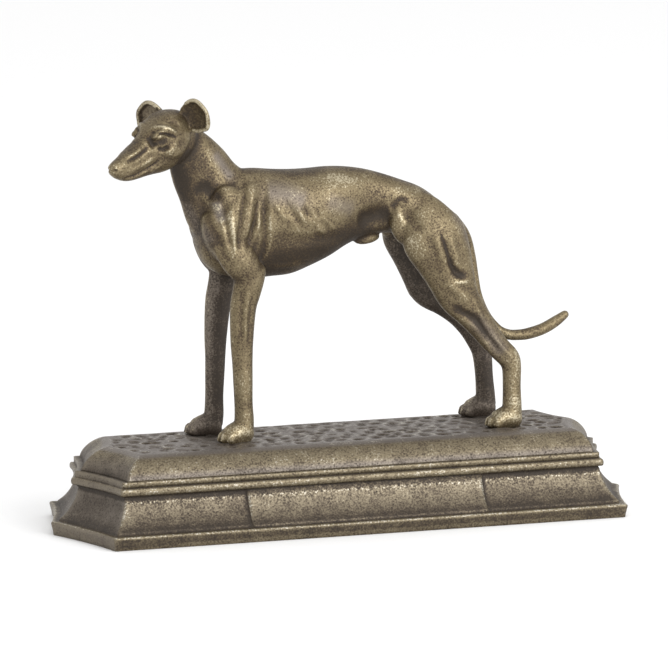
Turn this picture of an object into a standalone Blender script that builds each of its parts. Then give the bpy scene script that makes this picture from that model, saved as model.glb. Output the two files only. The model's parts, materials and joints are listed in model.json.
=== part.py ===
"""Greyhound statue: a greyhound standing on a long moulded plinth with pointed ends.

Metres, +Z up. The origin is the centre of the plinth's underside. The plinth's length runs along X, the dog
looks towards -X, and its near side, the side that a viewer sees, is -Y.
"""

import math
import random
from typing import NamedTuple

import bmesh
import bpy
import numpy as np
from mathutils import Matrix, Vector

# Plinth, overall
PLINTH_LENGTH = 0.304
PLINTH_WIDTH = 0.1054
END_POINT_DEPTH = 0.0161
END_HOLLOW = 0.0016

# Plinth, heights of its mouldings above the underside
SLAB_HEIGHT = 0.0070
RIM_FOOT_HEIGHT = 0.0249
RIM_TOP_HEIGHT = 0.0320
PLINTH_HEIGHT = 0.0432

# Plinth, how far each moulding stands in from the slab's edge
SLAB_FOOT_INSET = 0.0015
COVE_FOOT_INSET = 0.0040
COVE_NECK_INSET = 0.0137
BEAD_INSET = 0.0109
BAND_INSET = 0.0130
SHOULDER_INSET = 0.0141
SHOULDER_END_INSET = 0.0160
FLAT_INSET = 0.0258
FLAT_END_INSET = 0.0286
RIM_SHIFT_X = -0.0009
FLAT_SHIFT_X = 0.0004
SHOULDER_SLACK = 1.25

# Plinth, the smaller sizes of its mouldings
SLAB_ARRIS = 0.0010
COVE_FOOT_STEP = 0.0010
COVE_HOLLOW = 0.0016
RIM_SOFFIT = 0.0014
BEAD_SHARE = 0.5634
BEAD_HEIGHT = BEAD_SHARE * (RIM_TOP_HEIGHT - RIM_FOOT_HEIGHT)
PANEL_WIDTH = 0.124
PANEL_STAND = 0.0011
PANEL_SIDE = 0.0004
FRONT_FACING = 0.1
END_STEPS = 4
FLAT_TOLERANCE = 1e-6
PIT_SPACING_X = 0.0052
PIT_SPACING_Y = 0.0042
PIT_MARGIN = 0.0024
PIT_SCATTER = 0.25
PIT_DEPTH = 0.0011
PIT_SHARE = 0.42
PIT_SEED = 11

# Greyhound
DOG_HEIGHT = 0.1735
DOG_MIDLINE_Y = 0.0042
SOLE_CLEARANCE = 0.0003
UNION_VOXEL = 0.0009
SKIN_SMOOTHING = 5
GREYHOUND_TRIANGLES = 6700

# Head carriage
HEAD_TURN = math.radians(27.5)
HEAD_DROP = math.radians(11)

# Colours of the antique bronze finish
BRONZE = (0.115, 0.085, 0.045, 1.0)
DARK_BRONZE = (0.085, 0.066, 0.042, 1.0)


class Section(NamedTuple):
    """One upright cross-section of the trunk or head, in thousandths of the dog's height."""

    along: float
    top: float
    bottom: float
    half_width: float
    widest: float
    top_fullness: float
    bottom_fullness: float


class Joint(NamedTuple):
    """One station of a limb, neck or tail, in thousandths of the dog's height."""

    x: float
    y: float
    z: float
    half_deep: float
    half_wide: float


class Stroke(NamedTuple):
    """One modelling stroke down both sides of the dog, as (along, up) points.

    It sinks a groove where depth is positive and raises a ridge where it is negative.
    """

    half_width: float
    depth: float
    path: tuple


def clear_scene():
    """Removes every object, so that the script gives the same result each time."""
    for thing in list(bpy.data.objects):
        bpy.data.objects.remove(thing, do_unlink=True)


def bronze(name, colour, roughness):
    """A metallic material of one colour."""
    material = bpy.data.materials.new(name)
    material.use_nodes = True
    shader = material.node_tree.nodes["Principled BSDF"]
    shader.inputs["Base Color"].default_value = colour
    shader.inputs["Metallic"].default_value = 0.6
    shader.inputs["Roughness"].default_value = roughness
    return material


def object_from(bm, name):
    """A scene object that holds the bmesh, which is freed."""
    mesh = bpy.data.meshes.new(name)
    bm.to_mesh(mesh)
    bm.free()
    thing = bpy.data.objects.new(name, mesh)
    bpy.context.scene.collection.objects.link(thing)
    return thing


def applied(thing):
    """The object with its modifiers made part of its mesh."""
    bpy.context.view_layer.update()
    graph = bpy.context.evaluated_depsgraph_get()
    mesh = bpy.data.meshes.new_from_object(thing.evaluated_get(graph))
    thing.modifiers.clear()
    thing.data = mesh
    return thing


def spline(stations, steps):
    """The stations with steps - 1 more between each pair, on a Catmull-Rom curve through their values."""
    kind = type(stations[0])
    rows = np.array(stations, dtype=float)
    ends = np.vstack([2 * rows[0] - rows[1], rows, 2 * rows[-1] - rows[-2]])
    result = []
    for i in range(len(rows) - 1):
        a, b, c, d = ends[i : i + 4]
        for k in range(steps):
            t = k / steps
            value = 0.5 * (
                2 * b + (c - a) * t + (2 * a - 5 * b + 4 * c - d) * t**2 + (3 * b - a - 3 * c + d) * t**3
            )
            result.append(kind(*value))
    result.append(stations[-1])
    return result


def loft(bm, loops):
    """Joins loops of equal point counts in order, point to point, and closes both ends with a face."""
    rings = [[bm.verts.new(p) for p in points] for points in loops]
    count = len(rings[0])
    for first, second in zip(rings, rings[1:]):
        for i in range(count):
            k = (i + 1) % count
            bm.faces.new((first[i], first[k], second[k], second[i]))
    bm.faces.new(rings[0])
    bm.faces.new(rings[-1])


# Plinth


def plan_loop(inset, end_inset):
    """The plinth's plan, anticlockwise from above: a hexagon with hollowed end faces.

    It is drawn in by the inset at its sides and by the end inset at its ends.
    """
    half_width = PLINTH_WIDTH / 2
    slope = math.atan2(END_POINT_DEPTH, half_width)
    reach = (PLINTH_LENGTH / 2) * math.cos(slope) - end_inset
    corner_y = half_width - inset
    corner_x = (reach - corner_y * math.sin(slope)) / math.cos(slope)
    point_x = reach / math.cos(slope)
    corners = ((corner_x, -corner_y), (point_x, 0.0), (corner_x, corner_y))
    right = [corners[0], *arc(corners[0], corners[1], END_HOLLOW, END_STEPS)]
    right += [corners[1], *arc(corners[1], corners[2], END_HOLLOW, END_STEPS), corners[2]]
    return right + [(-x, -y) for x, y in right]


def arc(start, end, bulge, steps):
    """Points from start to end, both left out, on a bow that stands bulge off their chord."""
    ax, ay = start
    bx, by = end
    length = math.hypot(bx - ax, by - ay)
    nx, ny = -(by - ay) / length, (bx - ax) / length
    points = []
    for k in range(1, steps):
        t = k / steps
        off = 4 * bulge * t * (1 - t)
        points.append((ax + (bx - ax) * t + nx * off, ay + (by - ay) * t + ny * off))
    return points


def cove_profile(steps):
    """The hollow moulding as (inset, height) points from its foot to its neck."""
    foot = (COVE_FOOT_INSET, SLAB_HEIGHT + COVE_FOOT_STEP)
    neck = (COVE_NECK_INSET, RIM_FOOT_HEIGHT - RIM_SOFFIT)
    return [foot, *arc(foot, neck, -COVE_HOLLOW, steps), neck]


def shoulder_profile(steps):
    """The rounded shoulder above the rim as (inset, end inset, height) points."""
    run = FLAT_INSET - SHOULDER_INSET
    end_run = FLAT_END_INSET - SHOULDER_END_INSET
    rise = PLINTH_HEIGHT - RIM_TOP_HEIGHT
    points = []
    for k in range(steps + 1):
        angle = math.pi / 2 * k / steps
        across = max(math.cos(angle), 0.0) ** SHOULDER_SLACK
        up = math.sin(angle) ** SHOULDER_SLACK
        inset = FLAT_INSET - run * across
        end_inset = FLAT_END_INSET - end_run * across
        points.append((inset, end_inset, RIM_TOP_HEIGHT + rise * up))
    return points


def plinth_profile():
    """The whole moulding as (inset, end inset, height) points from the underside up to the flat top."""
    bead_mid = RIM_FOOT_HEIGHT + BEAD_HEIGHT / 2
    bead_top = RIM_FOOT_HEIGHT + BEAD_HEIGHT
    bead_side = (BAND_INSET - BEAD_INSET) / 2
    lower = [
        (SLAB_FOOT_INSET, 0.0),
        (0.0, SLAB_HEIGHT - SLAB_ARRIS),
        (SLAB_ARRIS / 3, SLAB_HEIGHT - SLAB_ARRIS / 3),
        (SLAB_ARRIS, SLAB_HEIGHT),
        (COVE_FOOT_INSET, SLAB_HEIGHT),
        *cove_profile(6),
        (BEAD_INSET + bead_side, RIM_FOOT_HEIGHT),
        (BEAD_INSET, bead_mid - BEAD_HEIGHT / 5),
        (BEAD_INSET, bead_mid + BEAD_HEIGHT / 5),
        (BEAD_INSET + bead_side, bead_top),
        (BAND_INSET, bead_top),
        (BAND_INSET, RIM_TOP_HEIGHT),
    ]
    return [(inset, inset, height) for inset, height in lower] + shoulder_profile(6)


def cut_lines(bm, along, spacing, limit):
    """Cuts the top face with upright planes at even spacing along one axis."""
    count = int(limit / spacing)
    normal = Vector(along)
    for k in range(-count, count + 1):
        top = [f for f in bm.faces if f.calc_center_median().z > PLINTH_HEIGHT - FLAT_TOLERANCE]
        geom = {item for f in top for item in (f, *f.edges, *f.verts)}
        bmesh.ops.bisect_plane(bm, geom=list(geom), plane_co=normal * (k * spacing), plane_no=normal)


def rim_distance(x, y):
    """How far inside the flat top's outline a point lies."""
    half_width = PLINTH_WIDTH / 2
    slope = math.atan2(END_POINT_DEPTH, half_width)
    along = abs(x - FLAT_SHIFT_X)
    end = (PLINTH_LENGTH / 2 - along) * math.cos(slope) - abs(y) * math.sin(slope) - END_HOLLOW
    return min(half_width - abs(y) - FLAT_INSET, end - FLAT_END_INSET)


def pit_top(bm):
    """Presses shallow pits into the flat top and keeps them off its edge."""
    cut_lines(bm, (1, 0, 0), PIT_SPACING_X, PLINTH_LENGTH / 2 - FLAT_INSET)
    cut_lines(bm, (0, 1, 0), PIT_SPACING_Y, PLINTH_WIDTH / 2 - FLAT_INSET - PIT_SPACING_Y / 2)
    chance = random.Random(PIT_SEED)
    ground = [v for v in bm.verts if v.co.z > PLINTH_HEIGHT - FLAT_TOLERANCE]
    inner = [v for v in ground if rim_distance(v.co.x, v.co.y) > PIT_MARGIN]
    inner.sort(key=lambda v: (round(v.co.x, 5), round(v.co.y, 5)))
    for vert in inner:
        lot = chance.random()
        vert.co.x += chance.uniform(-PIT_SCATTER, PIT_SCATTER) * PIT_SPACING_X
        vert.co.y += chance.uniform(-PIT_SCATTER, PIT_SCATTER) * PIT_SPACING_Y
        if lot < PIT_SHARE:
            vert.co.z -= PIT_DEPTH * (1 + lot / PIT_SHARE) / 2


def raise_panel(bm):
    """Draws the bare panel out of the middle of the front hollow, from the slab up to the rim."""
    half = PANEL_WIDTH / 2
    for x in (-half - PANEL_SIDE, -half, half, half + PANEL_SIDE):
        front = [f for f in bm.faces if f.normal.y < -FRONT_FACING and f.calc_center_median().y < 0]
        geom = {item for f in front for item in (f, *f.edges, *f.verts)}
        bmesh.ops.bisect_plane(bm, geom=list(geom), plane_co=(x, 0, 0), plane_no=(1, 0, 0))
    low = SLAB_HEIGHT - FLAT_TOLERANCE
    high = RIM_FOOT_HEIGHT - FLAT_TOLERANCE
    slab_edge = PLINTH_WIDTH / 2 - (SLAB_ARRIS + COVE_FOOT_INSET) / 2
    for vert in bm.verts:
        within = abs(vert.co.x) < half + FLAT_TOLERANCE and low < vert.co.z < high
        if within and -slab_edge < vert.co.y < 0:
            vert.co.y -= PANEL_STAND


def make_plinth():
    """The plinth: mouldings drawn round its plan, the front panel and the pitted top."""
    bm = bmesh.new()
    loops = []
    for inset, end_inset, height in plinth_profile():
        levels = (RIM_FOOT_HEIGHT - RIM_SOFFIT, RIM_FOOT_HEIGHT, RIM_TOP_HEIGHT, PLINTH_HEIGHT)
        shift = np.interp(height, levels, (0.0, RIM_SHIFT_X, RIM_SHIFT_X, FLAT_SHIFT_X))
        loops.append([(x + shift, y, height) for x, y in plan_loop(inset, end_inset)])
    loft(bm, loops)
    bmesh.ops.recalc_face_normals(bm, faces=bm.faces)
    raise_panel(bm)
    pit_top(bm)
    bmesh.ops.triangulate(bm, faces=bm.faces)
    bmesh.ops.recalc_face_normals(bm, faces=bm.faces)
    return object_from(bm, "plinth")


# Greyhound: the trunk, from the breast bone back to the buttocks. The values are shares of the dog's height.
TRUNK = (
    Section(-427, 640, 575, 34, 605, 2, 2),
    Section(-411, 690, 524, 60, 605, 2, 2),
    Section(-375, 735, 488, 80, 610, 2, 2),
    Section(-324, 775, 470, 92, 620, 2.2, 2),
    Section(-263, 783, 462, 98, 630, 2.2, 1.8),
    Section(-198, 777, 464, 102, 640, 2.2, 1.7),
    Section(-142, 773, 468, 105, 645, 2.3, 1.7),
    Section(-86, 773, 487, 103, 655, 2.3, 1.7),
    Section(-26, 776, 513, 95, 665, 2.3, 1.8),
    Section(30, 773, 545, 80, 675, 2.3, 1.9),
    Section(85, 764, 566, 66, 680, 2.3, 2),
    Section(141, 748, 574, 64, 670, 2.3, 2.2),
    Section(202, 726, 565, 76, 650, 2.2, 2.2),
    Section(262, 701, 540, 84, 620, 2.1, 2.2),
    Section(323, 653, 510, 80, 590, 2, 2.1),
    Section(368, 600, 490, 60, 550, 2, 2),
    Section(399, 552, 492, 32, 524, 2, 2),
)

NECK = (
    Joint(-470, -9, 885, 52, 46),
    Joint(-446, -7, 842, 73, 47),
    Joint(-419, -4, 795, 89, 50),
    Joint(-390, 0, 746, 98, 55),
    Joint(-354, 0, 693, 118, 68),
    Joint(-312, 0, 645, 126, 80),
)

TAIL = (
    Joint(351, 0, 600, 28, 28),
    Joint(393, 0, 552, 22, 22),
    Joint(414, 0, 492, 18, 18),
    Joint(426, 0, 430, 16, 16),
    Joint(438, 0, 372, 15.5, 15.5),
    Joint(465, 0, 312, 15.5, 15.5),
    Joint(502, 0, 268, 15, 15),
    Joint(534, 0, 252, 15, 15),
    Joint(562, 0, 249, 14.5, 14.5),
    Joint(596, 0, 251, 14, 14),
    Joint(643, 0, 263, 13.5, 13.5),
    Joint(683, 0, 283, 12.5, 12.5),
    Joint(714, 0, 302, 9, 9),
)

# The near limbs, from the trunk down to the paw. The far limbs are the same with their own shifts.
SHOULDER_BLADE = (
    Joint(-252, -51, 738, 24, 16),
    Joint(-277, -68, 712, 42, 22),
    Joint(-316, -79, 665, 52, 28),
    Joint(-350, -82, 610, 52, 30),
    Joint(-370, -79, 575, 40, 26),
)
UPPER_ARM = (
    Joint(-380, -75, 608, 28, 22),
    Joint(-364, -82, 580, 44, 28),
    Joint(-326, -86, 530, 52, 32),
    Joint(-293, -82, 492, 46, 30),
)
FORELEG = (
    Joint(-287, -77, 505, 48, 30),
    Joint(-292, -78, 470, 46, 31),
    Joint(-300, -75, 430, 43, 30),
    Joint(-309, -73, 387, 40, 28),
    Joint(-312, -71, 293, 35, 25),
    Joint(-310, -70, 225, 31, 24),
    Joint(-309, -70, 186, 30, 25),
    Joint(-307, -70, 113, 28, 23),
    Joint(-305, -70, 62, 29, 24),
    Joint(-307, -70, 30, 30, 26),
)
THIGH = (
    Joint(239, -46, 672, 40, 20),
    Joint(250, -62, 640, 64, 32),
    Joint(262, -73, 600, 88, 41),
    Joint(276, -79, 560, 98, 44),
    Joint(303, -85, 499, 86, 41),
    Joint(329, -88, 430, 70, 37),
    Joint(347, -91, 384, 62, 32),
)
GASKIN = (
    Joint(327, -88, 420, 64, 36),
    Joint(347, -91, 384, 58, 32),
    Joint(376, -92, 350, 51, 29),
    Joint(408, -93, 308, 43, 26),
    Joint(440, -94, 266, 38, 23),
    Joint(475, -95, 226, 35, 22),
    Joint(500, -96, 200, 34, 23),
    Joint(509, -96, 172, 30, 23),
    Joint(509, -97, 120, 28, 22),
    Joint(510, -98, 62, 29, 24),
    Joint(510, -98, 30, 30, 26),
)
FAR_GASKIN = (
    Joint(303, -88, 420, 62, 36),
    Joint(323, -91, 384, 57, 32),
    Joint(370, -92, 352, 51, 29),
    Joint(416, -93, 310, 43, 26),
    Joint(451, -94, 266, 38, 23),
    Joint(474, -95, 226, 35, 22),
    Joint(486, -96, 200, 33, 23),
    Joint(491, -96, 172, 30, 23),
    Joint(496, -97, 120, 28, 22),
    Joint(501, -98, 62, 29, 24),
    Joint(503, -98, 30, 30, 26),
)
# The rings of a limb's domed end: how large, and how far out as a share of its half width
DOME_RINGS = ((0.78, 0.45), (0.42, 0.7))
FAR_FORE_SHIFT = (-19, -46)
FAR_THIGH_SHIFT = (6, -27)

# Muscle masses: where the middle lies (its second value is how far out), the radii and the turn in radians
SHEATH = ((96, 0, 558), (42, 16, 16), -0.15)
SHOULDER_POINT = ((-386, 60, 600), (36, 42, 78), -0.35)
SHOULDER_FILL = ((-352, 62, 690), (52, 30, 58), -0.3)
FLANK_FOLD = ((140, 66, 606), (52, 24, 26), 0.31)

# A paw along its length from the heel, measured from the limb's foot, and how far its toes turn outward
PAW = (
    Joint(25, 0, 22, 16, 20),
    Joint(13, 0, 25, 33, 27),
    Joint(-18, 0, 25, 36, 31),
    Joint(-44, 0, 21, 31, 31),
    Joint(-61, 0, 17, 22, 27),
    Joint(-69, 0, 14, 13, 18),
)
FORE_PAW_TURN = math.radians(12)
HIND_PAW_TURN = math.radians(4)
# Where each toe lies, across and along, with the height of its ball and how far back and up its knuckle sits
TOES = ((-22, -52), (-7.5, -65), (7.5, -67), (22, -55))
TOE_BALL = (15.5, 9.5, 17)
TOE_HEIGHT = 15
KNUCKLE = (19, 9, 17)
KNUCKLE_BACK = 21
KNUCKLE_RISE = 15
KNUCKLE_CLOSING = 0.9
KNUCKLE_TILT = 0.5

# The head along its own length from the nape to the nose
HEAD = (
    Section(-10, 20, -44, 32, -6, 2.0, 2.0),
    Section(14, 56, -66, 52, 0, 2.2, 2.2),
    Section(50, 73, -80, 62, 0, 2.5, 2.2),
    Section(92, 76, -90, 64, 4, 2.6, 2.2),
    Section(130, 64, -92, 58, 8, 2.7, 2.2),
    Section(160, 48, -88, 46, 2, 2.6, 2.3),
    Section(195, 28, -84, 37, -12, 2.4, 2.4),
    Section(232, 13, -82, 32, -22, 2.3, 2.4),
    Section(270, 2, -76, 28, -30, 2.3, 2.4),
    Section(302, -7, -60, 23, -31, 2.2, 2.3),
    Section(321, -13, -43, 15, -29, 2.0, 2.0),
)
HEAD_POLL = (-458, -7, 908)
BROW = ((146, 45, 33), (32, 13, 13))
CHEEK = ((98, 50, -28), (46, 17, 26))
EYEBALL = ((152, 39, 7), (13, 11, 11))

# An ear from its root outwards: how far out, its lower and upper edge, its hollow and half its thickness
EAR = (
    (-14, -24, 30, 6, 9),
    (4, -32, 52, 15, 8),
    (24, -37, 66, 19, 7),
    (44, -37, 66, 17, 6.5),
    (62, -32, 52, 12, 6),
    (75, -26, 34, 7, 5),
    (83, -16, 12, 2, 3),
)
EAR_STEPS = 10
EAR_EDGE = 0.02
EAR_ROOT_ALONG = 48
EAR_ROOT_ACROSS = 48
EAR_ROOT_NEAR = 48
EAR_ROOT_FAR = 27
EAR_SWEEP_NEAR = math.radians(15)
EAR_SWEEP_FAR = math.radians(-10)
EAR_LIFT_NEAR = math.radians(-6)
EAR_LIFT_FAR = math.radians(0)

# How quickly the strokes reach their full depth where the skin turns outward
CARVE_REACH = 1.6
BODY_STROKES = (
    Stroke(13, 6, ((-244, 747), (-251, 661), (-248, 574), (-260, 502))),
    Stroke(9, 5, ((-298, 765), (-318, 693), (-330, 622), (-336, 558))),
    Stroke(9, 4, ((-263, 719), (-278, 656), (-299, 591))),
    Stroke(9, 5, ((-378, 697), (-372, 624), (-351, 545))),
    Stroke(8, 2.5, ((-233, 703), (-208, 658), (-184, 614))),
    Stroke(8, 2.5, ((-177, 692), (-147, 646), (-113, 601))),
    Stroke(8, 2.5, ((-128, 689), (-95, 646), (-62, 604))),
    Stroke(8, 2.5, ((-74, 695), (-43, 655), (-10, 616))),
    Stroke(16, 4, ((-223, 596), (-147, 580), (-71, 584), (-10, 600), (30, 622))),
    Stroke(34, 15, ((23, 676), (62, 652), (104, 648))),
    Stroke(12, -6, ((137, 700), (149, 660), (157, 610))),
    Stroke(10, 5, ((173, 690), (189, 622), (221, 562), (252, 496))),
    Stroke(10, 7, ((268, 587), (289, 527), (312, 468), (344, 440))),
    Stroke(11, 6, ((296, 372), (359, 322), (415, 262), (465, 205))),
)
FACE_STROKES = (
    Stroke(11, 6, ((124, 14), (150, 14), (172, 0))),
    Stroke(10, 4, ((170, -4), (205, -14), (250, -18))),
    Stroke(6, 4, ((150, -50), (190, -44), (240, -46), (285, -44))),
    Stroke(12, 5, ((60, -66), (84, -52), (74, -20), (56, 10))),
)


def share(value):
    """A length given in thousandths of the dog's height, in metres."""
    return value * DOG_HEIGHT / 1000


def dog_frame():
    """Turns places in thousandths of the dog's height into metres, on the plinth's top."""
    return Matrix.Translation((0, DOG_MIDLINE_Y, PLINTH_HEIGHT)) @ Matrix.Scale(share(1), 4)


def head_frame():
    """The head's place on the dog: its first axis runs from nape to nose, its second to the dog's left."""
    forward = Matrix.Rotation(math.pi + HEAD_TURN, 4, "Z") @ Matrix.Rotation(HEAD_DROP, 4, "Y")
    return Matrix.Translation(HEAD_POLL) @ forward


def section_points(section, count):
    """Points round an egg-shaped section, as (across, up) pairs in thousandths."""
    points = []
    for k in range(count):
        angle = 2 * math.pi * k / count
        across, up = math.cos(angle), math.sin(angle)
        full = section.top_fullness if up >= 0 else section.bottom_fullness
        reach = section.top - section.widest if up >= 0 else section.widest - section.bottom
        power = 2 / full
        side = math.copysign(abs(across) ** power, across) * section.half_width
        level = section.widest + math.copysign(abs(up) ** power, up) * reach
        points.append((side, level))
    return points


def add_trunk(bm):
    """The trunk as one loft of upright sections."""
    loops = []
    for section in spline(TRUNK, 3):
        loops.append([(section.along, side, level) for side, level in section_points(section, 28)])
    loft(bm, loops)


def oval(centre, deep, wide, half_deep, half_wide, count):
    """Points round an oval with its two half-axes along deep and wide."""
    points = []
    for k in range(count):
        angle = 2 * math.pi * k / count
        points.append(centre + deep * (math.cos(angle) * half_deep) + wide * (math.sin(angle) * half_wide))
    return points


def add_limb(bm, joints, side=-1, shift=(0, 0), steps=3, count=16):
    """A limb with domed ends as a loft of ovals square to its path.

    The side, -1 near or 1 far, mirrors it. The shift slides its upper and its lower end along X.
    """
    stations = spline(joints, steps)
    high, low = stations[0].z, stations[-1].z
    places = []
    for s in stations:
        fall = (high - s.z) / (high - low)
        places.append(Vector((s.x + shift[0] + (shift[1] - shift[0]) * fall, -side * s.y, s.z)))
    loops = []
    for i, s in enumerate(stations):
        path = (places[min(i + 1, len(places) - 1)] - places[max(i - 1, 0)]).normalized()
        deep = path.cross(Vector((0, 1, 0))).normalized()
        wide = deep.cross(path).normalized()
        loops.append(oval(places[i], deep, wide, s.half_deep, s.half_wide, count))
        if i in (0, len(stations) - 1):
            outward = -path if i == 0 else path
            domes = []
            for scale, reach in DOME_RINGS:
                centre = places[i] + outward * (s.half_wide * reach)
                domes.append(oval(centre, deep, wide, s.half_deep * scale, s.half_wide * scale, count))
            loops = domes[::-1] + loops if i == 0 else loops + domes
    loft(bm, loops)


def add_ball(bm, frame, centre, radii, turn=0.0, detail=3):
    """A muscle mass: an ellipsoid in a frame, turned about its second axis."""
    place = frame @ Matrix.Translation(centre) @ Matrix.Rotation(turn, 4, "Y")
    place = place @ Matrix.Diagonal((*radii, 1.0))
    bmesh.ops.create_icosphere(bm, subdivisions=detail, radius=1.0, matrix=place)


def add_paw(bm, x, y, turn):
    """A paw with four toes, standing at x, y, with its toes turned about the upright axis."""
    loops = []
    turning = Matrix.Rotation(turn, 4, "Z")
    here = Matrix.Translation((x, y, 0)) @ turning
    up, wide = Vector((0, 0, 1)), turning @ Vector((0, 1, 0))
    for s in spline(PAW, 3):
        loops.append(oval(here @ Vector((s.x, 0, s.z)), up, wide, s.half_deep, s.half_wide, 16))
    loft(bm, loops)
    for across, along in TOES:
        knuckle = (along + KNUCKLE_BACK, across * KNUCKLE_CLOSING, TOE_HEIGHT + KNUCKLE_RISE)
        add_ball(bm, here, (along, across, TOE_HEIGHT), TOE_BALL, detail=2)
        add_ball(bm, here, knuckle, KNUCKLE, turn=KNUCKLE_TILT, detail=2)


def add_ear(bm, frame, side, level, sweep, lift):
    """A thick ear held out to the side and hollow at the front; side is 1 near, -1 far."""
    root = Vector((EAR_ROOT_ALONG, EAR_ROOT_ACROSS * side, level))
    across = Vector((-math.sin(sweep), side * math.cos(sweep), 0))
    facing = Vector((math.cos(sweep), side * math.sin(sweep), 0))
    outward = across * math.cos(lift) + Vector((0, 0, math.sin(lift)))
    upward = Vector((0, 0, math.cos(lift))) - across * math.sin(lift)
    loops = []
    for out, low, high, hollow, half_thick in EAR:
        loop = []
        for face in (1, -1):
            for k in range(EAR_STEPS + 1):
                u = (-1 + 2 * k / EAR_STEPS) * face
                thick = face * half_thick * math.sqrt(max(1 - u**4, EAR_EDGE))
                height = (low + high) / 2 + u * (high - low) / 2
                depth = thick - hollow * (1 - u * u)
                loop.append(frame @ (root + outward * out + upward * height + facing * depth))
        loops.append(loop)
    loft(bm, loops)


def add_head(bm):
    """The head with brows, cheeks, eyes and ears, turned to the near side."""
    frame = head_frame()
    loops = []
    for section in spline(HEAD, 3):
        loop = section_points(section, 24)
        loops.append([frame @ Vector((section.along, side, level)) for side, level in loop])
    loft(bm, loops)
    for side, level, sweep, lift in (
        (1, EAR_ROOT_NEAR, EAR_SWEEP_NEAR, EAR_LIFT_NEAR),
        (-1, EAR_ROOT_FAR, EAR_SWEEP_FAR, EAR_LIFT_FAR),
    ):
        for (along, across, up), radii in (BROW, CHEEK, EYEBALL):
            add_ball(bm, frame, (along, across * side, up), radii)
        add_ear(bm, frame, side, level, sweep, lift)


def rough_greyhound():
    """Every mass of the dog as closed shells that overlap, in metres on the plinth's top."""
    bm = bmesh.new()
    add_trunk(bm)
    add_limb(bm, NECK)
    add_limb(bm, TAIL)
    for side, fore, thigh, gaskin in (
        (-1, (0, 0), (0, 0), GASKIN),
        (1, FAR_FORE_SHIFT, FAR_THIGH_SHIFT, FAR_GASKIN),
    ):
        add_limb(bm, SHOULDER_BLADE, side)
        add_limb(bm, UPPER_ARM, side, (0, fore[0]))
        add_limb(bm, FORELEG, side, fore)
        add_limb(bm, THIGH, side, thigh)
        add_limb(bm, gaskin, side)
        add_paw(bm, FORELEG[-1].x + fore[1], -side * FORELEG[-1].y, -side * FORE_PAW_TURN)
        add_paw(bm, gaskin[-1].x, -side * gaskin[-1].y, -side * HIND_PAW_TURN)
        for (along, across, up), radii, turn in (SHOULDER_POINT, SHOULDER_FILL, FLANK_FOLD):
            add_ball(bm, Matrix(), (along, across * side, up), radii, turn=turn)
    add_ball(bm, Matrix(), SHEATH[0], SHEATH[1], turn=SHEATH[2])
    add_head(bm)
    bmesh.ops.recalc_face_normals(bm, faces=bm.faces)
    bmesh.ops.transform(bm, matrix=dog_frame(), verts=bm.verts)
    return object_from(bm, "greyhound")


def distance_to_path(points, path):
    """The distance of each (along, up) point from a path of straight runs."""
    nearest = np.full(len(points), np.inf)
    for start, end in zip(path, path[1:]):
        a, b = np.array(start, float), np.array(end, float)
        run = b - a
        along = np.clip((points - a) @ run / (run @ run), 0, 1)
        nearest = np.minimum(nearest, np.linalg.norm(points - a - along[:, None] * run, axis=1))
    return nearest


def carve(bm, frame, strokes):
    """Sinks and raises the strokes on the outward sides of the form, in the frame's own shares."""
    inverse = frame.inverted()
    turn = inverse.to_3x3()
    local = np.array([inverse @ v.co for v in bm.verts])
    normals = np.array([(turn @ v.normal).normalized() for v in bm.verts])
    outward = np.clip(normals[:, 1] * np.sign(local[:, 1]), 0, 1)
    depth = np.zeros(len(local))
    for stroke in strokes:
        gap = distance_to_path(local[:, (0, 2)], stroke.path) / stroke.half_width
        depth += stroke.depth * np.where(gap < 1, 0.5 + 0.5 * np.cos(np.pi * np.minimum(gap, 1)), 0)
    depth *= np.minimum(outward * CARVE_REACH, 1) * share(1)
    for vert, amount in zip(bm.verts, depth):
        vert.co -= vert.normal * amount


def make_greyhound():
    """The dog: its masses joined into one skin, smoothed, carved, thinned and cut flat at the soles."""
    dog = rough_greyhound()
    union = dog.modifiers.new("Union", "REMESH")
    union.mode = "VOXEL"
    union.voxel_size = UNION_VOXEL
    union.adaptivity = 0.0
    applied(dog)
    bm = bmesh.new()
    bm.from_mesh(dog.data)
    for _ in range(SKIN_SMOOTHING):
        bmesh.ops.smooth_vert(
            bm, verts=bm.verts, factor=0.5, use_axis_x=True, use_axis_y=True, use_axis_z=True
        )
    bm.normal_update()
    carve(bm, dog_frame(), BODY_STROKES)
    carve(bm, dog_frame() @ head_frame(), FACE_STROKES)
    bmesh.ops.triangulate(bm, faces=bm.faces)
    bm.to_mesh(dog.data)
    count = len(bm.faces)
    bm.free()
    thin = dog.modifiers.new("Thin", "DECIMATE")
    thin.ratio = GREYHOUND_TRIANGLES / count
    applied(dog)
    bm = bmesh.new()
    bm.from_mesh(dog.data)
    sole = Vector((0, 0, PLINTH_HEIGHT + SOLE_CLEARANCE))
    geom = [*bm.verts, *bm.edges, *bm.faces]
    bmesh.ops.bisect_plane(bm, geom=geom, plane_co=sole, plane_no=(0, 0, 1), clear_inner=True)
    rims = [e for e in bm.edges if e.is_boundary]
    bmesh.ops.holes_fill(bm, edges=rims)
    bmesh.ops.triangulate(bm, faces=bm.faces)
    bmesh.ops.recalc_face_normals(bm, faces=bm.faces)
    bm.to_mesh(dog.data)
    bm.free()
    return dog


def main():
    """Builds the plinth and the greyhound."""
    clear_scene()
    plinth = make_plinth()
    plinth.data.materials.append(bronze("plinth_bronze", DARK_BRONZE, 0.55))
    dog = make_greyhound()
    dog.data.materials.append(bronze("dog_bronze", BRONZE, 0.5))


main()
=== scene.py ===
"""Greyhound statue: the dressed model of a cast bronze greyhound on a moulded plinth, in a pale studio.

Metres, +Z up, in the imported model's frame: the plinth runs along X, the dog looks towards -X, and its near
side is -Y.
The dog's own sizes are in thousandths of its height, measured from the middle of the plinth's top.
"""

import json
import logging
import math
import random
from dataclasses import dataclass, field
from enum import Enum
from typing import NamedTuple, Sequence

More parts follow.
